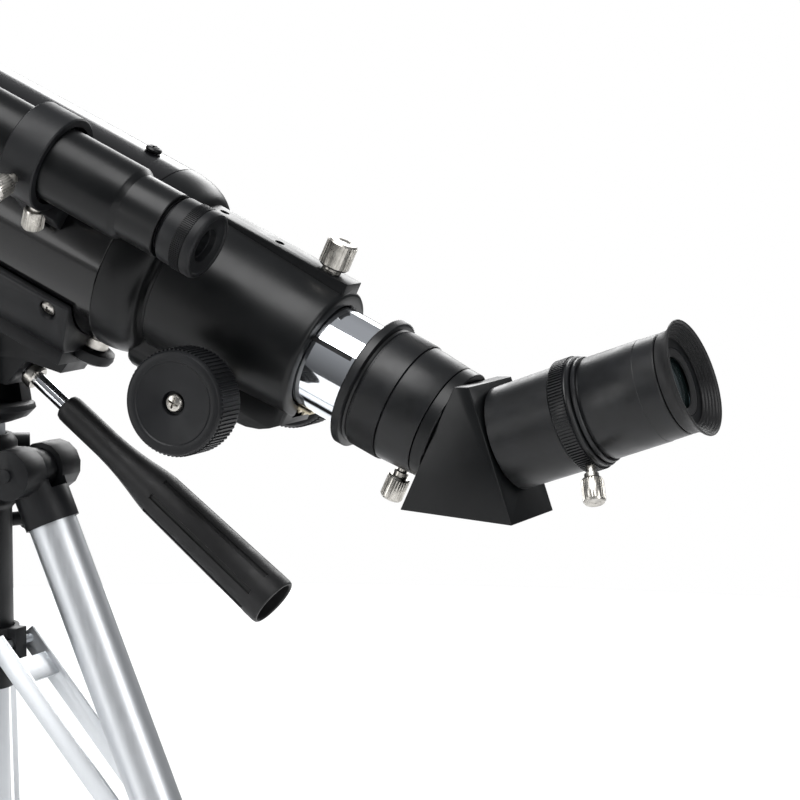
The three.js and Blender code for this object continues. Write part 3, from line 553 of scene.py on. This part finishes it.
# ---- optical tube ----
class TELESCOPE_OT_tube(bpy.types.Operator):
    """Turns the main tube, dew shield, objective cell and objective"""
    bl_idname = "telescope.tube"
    bl_label = "Optical tube"

    def execute(self, context):
        tube = turned([(-80.3, 35), (-80.3, 36.2), (-80.6, 36.5), (-318, 36.5), (-318.3, 36.2),
                       (-318.3, 35), (-80.3, 35)], ROUND, TUBE)
        fit(tube, "tube_wall", "head", gloss_powder_coat, "gloss_black_tube", "main_tube")
        shield = turned([
            (-300.3, 36.8), (-300.3, 39.2), (-300.9, 40.2), (-302.6, 41), (-371, 41), (-371.6, 41.5),
            (-376.4, 41.5), (-377.8, 41), (-378.3, 40.2), (-378.3, 39), (-377.6, 38.2),
            (-376, 38), (-333.4, 38), (-333.1, 38.4), (-318.6, 38.4), (-318.6, 36.8), (-300.3, 36.8),
        ], ROUND, TUBE)
        fit(shield, "shield", "head", satin_enamel, "satin_black_casting", "dew_shield")
        cell = turned([
            (-318.9, 33), (-318.9, 37.8), (-319.2, 38.1), (-330.6, 38.1), (-331, 37.7), (-331.4, 36.6),
            (-330.9, 35.7), (-321, 35.7), (-321, 33), (-318.9, 33),
        ], ROUND, TUBE)
        fit(cell, "lens_cell", "head", satin_enamel, "satin_black_casting", "objective_cell")
        bulge = [(-331.45 + 1.75 * (r / 35.2) ** 2, r) for r in (0, 5, 10, 15, 20, 25, 30, 35.2)]
        lens = turned(bulge + [(-321.3, 35.2), (-321.6, 20), (-321.8, 0)], ROUND, TUBE)
        fit(lens, "objective", "head", coated_glass, "coated_glass", "objective_lens")
        screw = cross_screw(along(OVER, RIM - BACK * HOUSING_SCREW, BACK), 36.8, 38.7, 3.2, 1.8)
        fit(screw, "tube_screw", "head", satin_enamel, "satin_black_casting", "housing_screw")
        return {"FINISHED"}


# ---- focuser ----
def arc(x, y, radius, start, end, steps):
    turns = [math.radians(start + (end - start) * i / steps) for i in range(steps + 1)]
    return [(x + radius * math.cos(t), y + radius * math.sin(t)) for t in turns]


class TELESCOPE_OT_focuser(bpy.types.Operator):
    """Makes the focuser casting, the drawtube and its rack"""
    bl_idname = "telescope.focuser"
    bl_label = "Focuser"

    def execute(self, context):
        bell = [(-80 + 15.6 * math.cos(t), 29.2 + 7.3 * math.sin(t))
                for t in [math.radians(90 * i / 10) for i in range(11)]]
        body = turned([
            (-0.5, 20.4), (0, 21), (0, 24.4), (-0.35, 25.1), (-1.0, 25.6), (-2.2, 25.85),
            (-61.4, 28.8), (-61.8, 28.5), (-62, 27.8), (-63.4, 27.8), (-63.8, 28.2), *bell,
            (-80, 34.7), (-112, 34.7), (-112, 32.2), (-77, 32.2), (-61, 20.4), (-0.5, 20.4),
        ], ROUND, TUBE)
        rail = block((-29.4, -22), (-6.3, 6.3), (-77, -0.6), TUBE, 0.5 * MM)
        outline = ([(17, -13)] + arc(29, -4, 9, 270, 360, 8) + arc(29, 4, 9, 0, 90, 8) + [(17, 13)])
        under = extruded(outline, -69, -0.6, TUBE, 2.4 * MM)
        # Outline in (along the tube, downwards), cut across: the box rises towards the rim.
        across = TUBE @ Matrix(((0, 1, 0, 0), (0, 0, 1, 0), (1, 0, 0, 0), (0, 0, 0, 1)))
        slope = extruded([(2, 26.4), (-1, 28.2), (-4, 30.8), (-8, 33.3), (-14, 35.6), (-24, 37.4),
                          (-38, 38.1), (-38, 46), (2, 46)], -20, 20, across, 0)
        bore = turned([(-66, 0), (-66, 20.4), (3, 20.4), (3, 0)], ROUND, TUBE)
        combine(body, rail, "UNION")
        combine(under, slope, "DIFFERENCE")
        combine(body, under, "UNION")
        combine(body, bore, "DIFFERENCE")
        slot = block((19, 25.6), (-4.4, 4.4), (-71, 3), TUBE, 0)
        combine(body, slot, "DIFFERENCE")
        for at in (-34, -59):
            hole = turned([(27.6, 0), (27.6, 1.9), (31, 1.9), (31, 0)], SLIM,
                          along(OVER, RIM + BACK * at * MM, BACK))
            combine(body, hole, "DIFFERENCE")
        fit(body, "focuser_body", "head", satin_enamel, "satin_black_casting", "focuser_housing")

        draw = turned([(25.3, 18.4), (25.3, 19.7), (25, 20), (-91.7, 20), (-92, 19.7), (-92, 18.4),
                       (25.3, 18.4)], ROUND, TUBE)
        slot_place = along(BACK, RIM, (0.25, -1, 0.45))
        combine(draw, block((-0.9, 0.9), (19, 21), (-20, 16.6), slot_place, 0), "DIFFERENCE")
        # A flat black strip along the bottom of the drawtube's groove: painted shade for the groove's
        # depth.
        shade_strip = block((-0.85, 0.85), (18.9, 19.5), (-19.9, 16.5), slot_place, 0)
        fit(shade_strip, "groove_painted_shade", "drawtube", flat_black, "black_machined")
        fit(draw, "draw_tube", "drawtube", bright_chrome, "chrome_plate", "drawtube")

        pitch = sizes().rack_pitch / MM
        strip = block((20.3, 21.5), (-4, 4), (-86, 5), TUBE, 0.15 * MM)
        tooth = extruded([(21.4, 0.5), (22.8, 0.8), (22.8, 1.3), (21.4, 1.6)], 0, 8, None, 0)
        # The outline lies in X-Y: lay it along the tube, its thickness across.
        only(tooth)
        tooth.matrix_world = TUBE @ Matrix(((1, 0, 0, 0), (0, 0, -1, 4 * MM), (0, 1, 0, -86 * MM),
                                            (0, 0, 0, 1)))
        bpy.ops.object.transform_apply(location=True, rotation=True, scale=True)
        repeat = tooth.modifiers.new("teeth", "ARRAY")
        repeat.use_relative_offset = False
        repeat.use_constant_offset = True
        repeat.constant_offset_displace = BACK * pitch * MM
        repeat.count = int(90 / pitch)
        bpy.ops.object.modifier_apply(modifier=repeat.name)
        deselect()
        tooth.select_set(True)
        strip.select_set(True)
        bpy.context.view_layer.objects.active = strip
        bpy.ops.object.join()
        fit(strip, "rack_strip", "drawtube", machined_brass, "brass_rack", "drawtube_rack")
        finish_node("pinion_shaft", nickel_plate)
        return {"FINISHED"}


class TELESCOPE_OT_knobs(bpy.types.Operator):
    """Makes the two focusing knobs and their screws"""
    bl_idname = "telescope.knobs"
    bl_label = "Focusing knobs"

    def execute(self, context):
        axis_at = JOINTS["focus_turn"]["pos_m"]
        for side, word in ((-1, "left"), (1, "right")):
            place = along((0, side, 0), axis_at, BACK)
            knob = turned([
                (28.7, 2.7), (28.7, 5.8), (29, 6.1), (37.7, 6.4), (37.7, 17.2), (38, 18.1),
                (38.8, 18.7), (39.8, 18.95), (40.2, 18.95), (53.2, 18.95), (53.6, 18.95),
                (54.6, 18.75), (55.2, 18.3), (55.5, 17.5), (55.5, 15.4), (55.35, 15.1), (54.9, 14.8),
                (54.75, 14.4), (54.7, 5), (54.5, 4.5), (52.6, 4.2), (52.5, 0), (49, 0), (49, 2.7),
                (28.7, 2.7),
            ], sizes().knob_ribs * 2, place, 0, ribs=[(40.3, 53.1, 2, 0.5, 0.08)])
            fit(knob, f"knob_{word}", "focus_knobs", moulded_abs, "black_plastic",
                f"focus_knob_{word}")
            screw = cross_screw(place, 52.7, 54.9, 3.3, 1.5)
            fit(screw, f"knob_screw_{word}", "focus_knobs", nickel_plate, "nickel_plate")
        return {"FINISHED"}


# ---- adapter, diagonal and eyepiece ----
class TELESCOPE_OT_adapter(bpy.types.Operator):
    """Turns the knurled eyepiece adapter"""
    bl_idname = "telescope.adapter"
    bl_label = "Adapter"

    def execute(self, context):
        knurl = [(25.4 + 0.7 * i, 22.6) for i in range(17)]
        piece = turned([
            (19.3, 20.3), (19.3, 24.2), (19.6, 24.6), (20, 24.75), (20.7, 24.75), (21.4, 24.75),
            (22.1, 24.75), (22.8, 24.75), (23.1, 24.5), (23.3, 24), (23.4, 22.9), (24.2, 22.5),
            (24.4, 22.1), (24.9, 22.1),
            *knurl, (36.9, 22.1), (37.4, 22.5), (50.8, 21.75), (51.2, 21.5), (51.3, 21.1),
            (51.3, 16.15), (26.3, 16.15), (26.3, 20.3), (19.3, 20.3),
        ], sizes().knurl_columns * 2, TUBE, 0,
                       points=[(20, 22.8, 0.45, 0.7), (25.4, 36.6, 0.48, 0.7)])
        fit(piece, "adapter", "drawtube", black_anodised, "black_machined", "eyepiece_adapter")
        return {"FINISHED"}


class TELESCOPE_OT_diagonal(bpy.types.Operator):
    """Makes the diagonal's barrel, prism housing and eyepiece socket"""
    bl_idname = "telescope.diagonal"
    bl_label = "Diagonal"

    def execute(self, context):
        barrel = turned([
            (30.6, 14.35), (30.6, 15.6), (30.9, 15.85), (51.6, 15.85), (51.6, 21.3), (51.9, 21.65),
            (56.2, 21.65), (56.6, 21.3), (56.6, 14.35), (30.6, 14.35),
        ], ROUND, TUBE)
        fit(barrel, "nose_barrel", "diagonal", satin_enamel, "satin_black_casting", "diagonal_barrel")
        fit(refined("prism_housing", 0.45 * MM), "prism_case", "diagonal", satin_enamel,
            "satin_black_casting", "prism_housing")
        finish_node("erecting_prism", coated_glass)
        socket = turned([
            (9.9, 16.15), (9.9, 18.7), (10.2, 19.05), (35.2, 19.3), (35.5, 19.6), (35.8, 20.1),
            (36.3, 20.4), (41.9, 20.4), (42.1, 19.9), (42.5, 19.8), (42.8, 20.2), (43.7, 20.3),
            (44, 20), (44.1, 19.6), (44.1, 16.15), (9.9, 16.15),
        ], sizes().collar_ribs * 2, EYE, 0, ribs=[(36.4, 41.8, 2, 0.45, 0.06)])
        fit(socket, "eyepiece_holder", "diagonal", black_anodised, "black_machined",
            "eyepiece_socket")
        return {"FINISHED"}


class TELESCOPE_OT_eyepiece(bpy.types.Operator):
    """Turns the eyepiece, its lens and its rubber cup"""
    bl_idname = "telescope.eyepiece"
    bl_label = "Eyepiece"

    def execute(self, context):
        body = turned([
            (44.4, 16.15), (44.4, 18.9), (44.6, 19.3), (45, 19.5), (45.9, 19.5), (46.2, 19.2),
            (46.3, 18), (47, 18), (47.1, 18.5), (47.5, 18.75), (68.2, 18.8), (68.4, 18.65),
            (76, 18.6), (76.4, 18.3), (76.4, 17.4), (72.4, 17.4), (72.4, 16.15),
            (78.4, 16.15), (78.4, 12.4), (52.9, 12.4), (52.9, 16.15), (44.4, 16.15),
        ], ROUND, EYE)
        fit(body, "eyepiece_case", "eyepiece", black_anodised, "black_machined", "eyepiece_body")
        steps = []
        for i in range(5):
            z, r = 82.9 - i * 0.85, 20.1 - i * 0.85
            steps += [(z, r), (z - 0.15, r - 0.45), (z - 0.7, r - 0.6)]
        cup = turned([
            (72.7, 16.5), (72.7, 17.1), (76.9, 17.1), (76.9, 18.3), (77.2, 18.6), (78.4, 18.6),
            (79.6, 18.8), (80.8, 19.3), (81.8, 20.1), (82.6, 20.9), (83.1, 21.25), (83.5, 21.25),
            (83.7, 21), (83.65, 20.7), (83.4, 20.4), *steps,
            (78.7, 15.4), (78.7, 16.5), (72.7, 16.5),
        ], ROUND, EYE)
        fit(cup, "rubber_cup", "eyepiece", moulded_rubber, "black_rubber", "eyecup")
        dome = [(76.9 - 1.3 * (r / 12.1) ** 2, r) for r in (12.1, 9, 6, 3, 0)]
        lens = turned([(73.4, 0), (73.4, 12.1)] + dome, ROUND, EYE)
        fit(lens, "eye_glass", "eyepiece", coated_glass, "coated_glass", "eye_lens")
        ring = turned([(77.2, 9.4), (77, 12.25), (78.3, 12.25), (78.3, 10.6), (77.8, 9.6),
                       (77.2, 9.4)], ROUND, EYE)
        fit(ring, "lens_ring", "eyepiece", flat_black, "black_machined")
        finish_node("eyepiece_barrel", bright_chrome)
        return {"FINISHED"}


# ---- finder ----
class TELESCOPE_OT_finder(bpy.types.Operator):
    """Makes the finder, its lenses and its bracket"""
    bl_idname = "telescope.finder"
    bl_label = "Finder"

    def execute(self, context):
        axis = Vector(JOINTS["finder_focus_turn"]["pos_m"]) + BACK * FINDER_FOCUS
        place = along(BACK, axis)
        tube = turned([
            (-53.4, 10.9), (-53.4, 12.1), (-53.7, 12.4), (-69.2, 12.4), (-69.6, 12.7), (-71.1, 13.7),
            (-71.7, 14), (-152, 14), (-152.6, 14.3), (-156.4, 16.5), (-157.6, 17), (-183.4, 17),
            (-185.4, 16.7), (-186, 16.1), (-186, 15.5), (-185.4, 15.2), (-172, 15.2), (-172, 12.5),
            (-73.5, 12.5), (-71.5, 10.9), (-53.4, 10.9),
        ], ROUND, place)
        fit(tube, "finder_body", "head", satin_enamel, "satin_black_casting", "finder_tube")
        ring = turned([
            (-67.4, 8.9), (-67.4, 10.5), (-53.1, 10.5), (-53.1, 9.9), (-51.4, 9.9), (-51.4, 12),
            (-51.1, 12.3), (-50.4, 12.4), (-45.8, 12.4), (-45.5, 12.4), (-41.1, 12.4),
            (-40.8, 12.7), (-38.6, 12.8), (-37.6, 12.5), (-37.2, 12.1), (-37, 11.4), (-37.2, 10.8),
            (-37.5, 10.5), (-38.1, 6.8), (-38.3, 6.5), (-40.4, 6.1), (-40.6, 5.6), (-44, 5.4),
            (-44, 8.9), (-67.4, 8.9),
        ], sizes().collar_ribs * 2, place, 0, ribs=[(-45.4, -41.2, 2, 0.4, 0.06)])
        fit(ring, "finder_ring", "finder_focus", moulded_abs, "black_plastic", "finder_eyepiece")
        glass = turned([(-48, 0), (-47.4, 8.6), (-44.5, 8.6), (-43.2, 5), (-42.2, 2.5), (-41.9, 0)],
                       SLIM, place)
        fit(glass, "finder_eye_glass", "finder_focus", coated_glass, "coated_glass")
        front = turned([(-177.5, 0), (-177.2, 7), (-176.2, 14.8), (-172.4, 14.8), (-172.4, 0)],
                       ROUND, place)
        fit(front, "finder_glass", "head", coated_glass, "coated_glass", "finder_objective")

        clamp = turned([(-117, 15.5), (-117, 18), (-116.5, 18.5), (-102.5, 18.5), (-102, 18),
                        (-102, 15.5), (-117, 15.5)], ROUND, place)
        to_tube = RIM - axis
        to_tube -= BACK * to_tube.dot(BACK)
        foot_place = along(to_tube, axis - BACK * FINDER_CLAMP, BACK)
        foot = block((-15.5, 15.5), (-9, 9), (16.4, 26.2), foot_place, 0.8 * MM)
        # X of the foot's place runs across the tube and its Y along it.
        hollow = turned([(-130, 0), (-130, 16), (-90, 16), (-90, 0)], ROUND, place)
        tube_cut = turned([(-140, 0), (-140, 36.8), (-80, 36.8), (-80, 0)], ROUND, TUBE)
        combine(foot, tube_cut, "DIFFERENCE")
        combine(foot, hollow, "DIFFERENCE")
        combine(clamp, foot, "UNION")
        fit(clamp, "finder_clamp", "head", moulded_abs, "black_plastic", "finder_bracket")
        return {"FINISHED"}


# ---- saddle, head and handle ----
class TELESCOPE_OT_head(bpy.types.Operator):
    """Makes the saddle, the tilting platform and the pan base"""
    bl_idname = "telescope.head"
    bl_label = "Saddle and head"

    def execute(self, context):
        fit(refined("tube_saddle", 0.6 * MM), "saddle", "head", moulded_abs, "satin_black_casting",
            "tube_saddle")
        for side, word in ((-1, "left"), (1, "right")):
            out = SIDE * side - OVER
            screw = cross_screw(along(out, RIM - BACK * SADDLE_SCREW, BACK), 37.6, 40.6, 3.3, 1.6)
            nodes = ("saddle_screw",) if side < 0 else ()
            fit(screw, f"saddle_screw_{word}", "head", nickel_plate, "nickel_plate", *nodes)
        fit(refined("tilt_platform", 0.7 * MM), "platform", "head", moulded_abs, "black_plastic",
            "tilt_platform")
        place = joint_place("mounting_screw_turn")
        low, high, radius = [v / MM for v in reach("platform_screw", place)]
        wheel = turned([
            (low, 0), (low, radius - 1.5), (low + 0.8, radius - 0.6), (low + 6.6, radius - 0.6),
            (low + 7.5, radius - 1.5), (low + 7.5, 3), (high, 3), (high, 0),
        ], 60, place, 0, ribs=[(low + 0.9, low + 6.5, 2, 0.5, 0.08)])
        fit(wheel, "mounting_wheel", "mounting_screw", moulded_abs, "black_plastic",
            "platform_screw")
        stud_place = along(-OVER, RIM - BACK * STOP_STUD, BACK)
        stud = turned([(36.9, 0), (36.9, 5), (37.3, 5.4), (40.8, 5.4), (41.2, 5), (41.2, 0)], SLIM,
                      stud_place)
        fit(stud, "stop_stud", "head", nickel_plate, "nickel_plate")
        stop = turned([(41.4, 0), (41.4, 7.6), (42, 8.8), (44.2, 9), (46, 8.2), (47, 6.2),
                       (47.3, 0)], SLIM, stud_place)
        fit(stop, "stop_cap", "head", moulded_abs, "black_plastic")
        fit(refined("pan_base", 0.7 * MM), "pan_bowl", "pan", moulded_abs, "black_plastic",
            "pan_base")
        finish_node("tilt_axle", nickel_plate)
        return {"FINISHED"}


class TELESCOPE_OT_handle(bpy.types.Operator):
    """Makes the pan handle's rod and grip"""
    bl_idname = "telescope.handle"
    bl_label = "Pan handle"

    def execute(self, context):
        place = joint_place("handle_twist")
        rod = turned([(9, 0), (9, 2.9), (64.5, 2.9), (64.5, 0)], SLIM, place)
        fit(rod, "rod", "handle", bright_chrome, "chrome_plate", "handle_rod")
        nut = turned([(26.4, 3), (26.4, 4.6), (27, 5), (30.2, 5), (30.8, 4.6), (30.8, 3),
                      (26.4, 3)], SLIM, place)
        fit(nut, "rod_nut", "handle", nickel_plate, "nickel_plate")
        outline = [
            (41, 3.2), (41, 4.4), (41.5, 5.1), (42.8, 5.5), (45, 5.6), (64, 5.6), (70, 5.9),
            (76, 6.5), (82, 7.4), (88, 8.4), (92, 8.9), (146, 10), (147, 10.1), (151.6, 10.1),
            (152.6, 9.9), (153, 9.5), (153, 8.9), (152.5, 8.5), (120, 7.9), (95, 7), (70, 3.4),
            (41, 3.2),
        ]
        grip = turned([(z + 5.5, r) for z, r in outline], 28, place, 0,
                      ribs=[(97.7, 151.4, 4, -0.8, 0.35)])
        fit(grip, "grip", "handle", moulded_rubber, "black_rubber", "handle_grip")
        return {"FINISHED"}


# ---- stand ----
class TELESCOPE_OT_stand(bpy.types.Operator):
    """Makes the centre column, shoulder and spreader hub"""
    bl_idname = "telescope.stand"
    bl_label = "Column and shoulder"

    def execute(self, context):
        place = joint_place("pan_turn")
        low, high, radius = [v / MM for v in reach("center_column", place)]
        top = high - 4.7
        column = turned([(low, 0), (low, radius - 1), (low + 0.6, radius), (top - 0.4, radius),
                         (top, radius - 0.4), (top, 5), (high, 5), (high, 0)], ROUND, place)
        fit(column, "column", "column", silver_anodised, "silver_anodised", "center_column")
        fit(refined("tripod_shoulder", 0.7 * MM), "shoulder", "stand", moulded_abs,
            "black_plastic", "tripod_shoulder")
        fit(refined("spreader_hub"), "hub_ring", "hub", moulded_abs, "black_plastic",
            "spreader_hub")
        return {"FINISHED"}


class TELESCOPE_OT_legs(bpy.types.Operator):
    """Makes the three legs with their locks, feet and struts"""
    bl_idname = "telescope.legs"
    bl_label = "Legs"

    def execute(self, context):
        for letter in "abc":
            pivot = JOINTS[f"leg_fold_{letter}"]
            down = along(JOINTS[f"leg_extend_{letter}"]["axis"], pivot["pos_m"], pivot["axis"])
            leg = f"leg_{letter}"
            fit(refined(f"leg_socket_{letter}", 0.8 * MM), f"socket_{letter}", leg, moulded_abs,
                "black_plastic", f"leg_socket_{letter}")
            tube = turned([(12, 8.3), (12, 9.2), (12.3, 9.5), (261.7, 9.5), (262, 9.2), (262, 8.3),
                           (12, 8.3)], 64, down)
            fit(tube, f"upper_tube_{letter}", leg, silver_anodised, "silver_anodised",
                f"leg_tube_{letter}")
            fit(refined(f"leg_collar_{letter}", 0.5 * MM), f"collar_{letter}", leg, moulded_abs,
                "black_plastic", f"leg_collar_{letter}")
            fit(refined(f"leg_lever_{letter}", 0.6 * MM), f"lever_{letter}", f"lever_{letter}",
                moulded_abs, "black_plastic", f"leg_lever_{letter}")
            slider = turned([(20, 6.7), (20, 7.5), (20.2, 7.7), (324, 7.7), (324, 6.7), (20, 6.7)],
                            64, down)
            fit(slider, f"lower_tube_{letter}", f"slider_{letter}", silver_anodised,
                "silver_anodised", f"leg_slider_{letter}")
            foot = turned([(310, 7.9), (310, 9), (310.6, 9.4), (314, 9.5), (317, 9.7), (322, 10),
                           (328, 10.5), (331, 10.5), (333.4, 9.9), (334, 9), (334, 0), (325, 0),
                           (325, 7.9), (310, 7.9)], 64, down)
            only(foot)
            bpy.ops.object.mode_set(mode="EDIT")
            bpy.ops.mesh.select_all(action="SELECT")
            bpy.ops.mesh.bisect(plane_co=(0, 0, 0), plane_no=(0, 0, 1), use_fill=True,
                                clear_inner=True)
            bpy.ops.object.mode_set(mode="OBJECT")
            fit(foot, f"foot_{letter}", f"slider_{letter}", moulded_rubber, "black_rubber",
                f"leg_slider_{letter}")
            fit(refined(f"leg_strut_{letter}", 0.4 * MM), f"strut_{letter}", f"strut_{letter}",
                silver_anodised, "silver_anodised", f"leg_strut_{letter}")
        return {"FINISHED"}


# ---- stage ----
def lamp(name, where, target, size, energy):
    light = bpy.data.lights.new(name, "AREA")
    light.shape = "RECTANGLE"
    light.size, light.size_y = size
    light.energy = energy
    holder = bpy.data.objects.new(name, light)
    bpy.context.collection.objects.link(holder)
    holder.location = where
    holder.rotation_euler = (Vector(target) - Vector(where)).to_track_quat("-Z", "Y").to_euler()
    return holder


class TELESCOPE_OT_stage(bpy.types.Operator):
    """Sets the floor, lights and camera"""
    bl_idname = "telescope.stage"
    bl_label = "Stage"

    azimuth: bpy.props.FloatProperty(name="Azimuth", default=math.radians(24), subtype="ANGLE")
    elevation: bpy.props.FloatProperty(name="Elevation", default=math.radians(6.5),
                                       subtype="ANGLE")

    def execute(self, context):
        deselect()
        bpy.ops.mesh.primitive_circle_add(vertices=96, radius=1.5, fill_type="NGON",
                                          location=(0, 0, -0.0002))
        floor = bpy.context.object
        floor.name = "floor"
        floor.data.materials.append(material_of(studio_paper))

        back = Vector((math.sin(self.azimuth) * math.cos(self.elevation),
                       -math.cos(self.azimuth) * math.cos(self.elevation),
                       math.sin(self.elevation)))
        right = Vector((math.cos(self.azimuth), math.sin(self.azimuth), 0))
        up = back.cross(right)
        aim = RIM + right * 27.4 * MM - up * 16.1 * MM
        camera = bpy.data.cameras.new("camera")
        camera.lens = sizes().lens_length
        camera.sensor_width = 36
        camera.clip_end = 60
        holder = bpy.data.objects.new("camera", camera)
        bpy.context.collection.objects.link(holder)
        turn = Matrix((right, up, back)).transposed().to_4x4()
        holder.matrix_world = Matrix.Translation(aim + back * sizes().camera_distance) @ turn
        context.scene.camera = holder

        lamp("key_softbox", (0.15, -0.75, 1.8), RIM, (1.6, 1.1), 44)
        lamp("back_softbox", (-0.4, 2.1, 1.25), RIM, (2.4, 0.9), 38)
        lamp("right_panel", (1.9, -0.7, 0.75), RIM, (0.7, 1.2), 16)
        lamp("left_panel", (-1.3, -1.7, 0.6), RIM, (0.6, 1.2), 12)
        world = bpy.data.worlds.new("studio")
        world.use_nodes = True
        tree = world.node_tree
        # White behind the telescope; a dimmer room, lighter overhead, for what it reflects.
        room = tree.nodes["Background"]
        room.inputs["Color"].default_value = linear("#f4f6fa")
        white = node(tree, "ShaderNodeBackground", Strength=1.0)
        white.inputs["Color"].default_value = linear("#ffffff")
        direction = node(tree, "ShaderNodeTexCoord")
        split = node(tree, "ShaderNodeSeparateXYZ", [("Vector", direction, "Generated")])
        height = node(tree, "ShaderNodeMapRange", [("Value", split, "Z")])
        for socket, value in (("From Min", -0.1), ("From Max", 0.9), ("To Min", 0.13),
                              ("To Max", 0.44)):
            height.inputs[socket].default_value = value
        tree.links.new(height.outputs["Result"], room.inputs["Strength"])
        path = node(tree, "ShaderNodeLightPath")
        mix = node(tree, "ShaderNodeMixShader")
        tree.links.new(path.outputs["Is Camera Ray"], mix.inputs[0])
        tree.links.new(room.outputs[0], mix.inputs[1])
        tree.links.new(white.outputs[0], mix.inputs[2])
        tree.links.new(mix.outputs[0], tree.nodes["World Output"].inputs["Surface"])
        context.scene.world = world
        context.scene.view_settings.view_transform = "Standard"
        return {"FINISHED"}


# ---- panel ----
STEPS = ("tube", "focuser", "knobs", "adapter", "diagonal", "eyepiece", "finder", "thumbscrews",
         "head", "handle", "stand", "legs", "stage")


class TELESCOPE_PT_panel(bpy.types.Panel):
    """Lists the telescope's pieces and sizes"""
    bl_idname = "TELESCOPE_PT_panel"
    bl_label = "Telescope"
    bl_space_type = "VIEW_3D"
    bl_region_type = "UI"
    bl_category = "Telescope"

    def draw(self, context):
        for name in TelescopeSizes.__annotations__:
            self.layout.prop(context.scene.telescope_sizes, name)
        for step in STEPS:
            self.layout.operator(f"telescope.{step}")


CLASSES = (TelescopeSizes, TELESCOPE_OT_thumbscrews, TELESCOPE_OT_tube, TELESCOPE_OT_focuser,
           TELESCOPE_OT_knobs, TELESCOPE_OT_adapter, TELESCOPE_OT_diagonal, TELESCOPE_OT_eyepiece,
           TELESCOPE_OT_finder, TELESCOPE_OT_head, TELESCOPE_OT_handle, TELESCOPE_OT_stand,
           TELESCOPE_OT_legs, TELESCOPE_OT_stage, TELESCOPE_PT_panel)


def register():
    for item in CLASSES:
        bpy.utils.register_class(item)
    bpy.types.Scene.telescope_sizes = bpy.props.PointerProperty(type=TelescopeSizes)


def unregister():
    del bpy.types.Scene.telescope_sizes
    for item in reversed(CLASSES):
        bpy.utils.unregister_class(item)


def main():
    register()
    for step in STEPS:
        getattr(bpy.ops.telescope, step)()


if __name__ == "__main__":
    main()
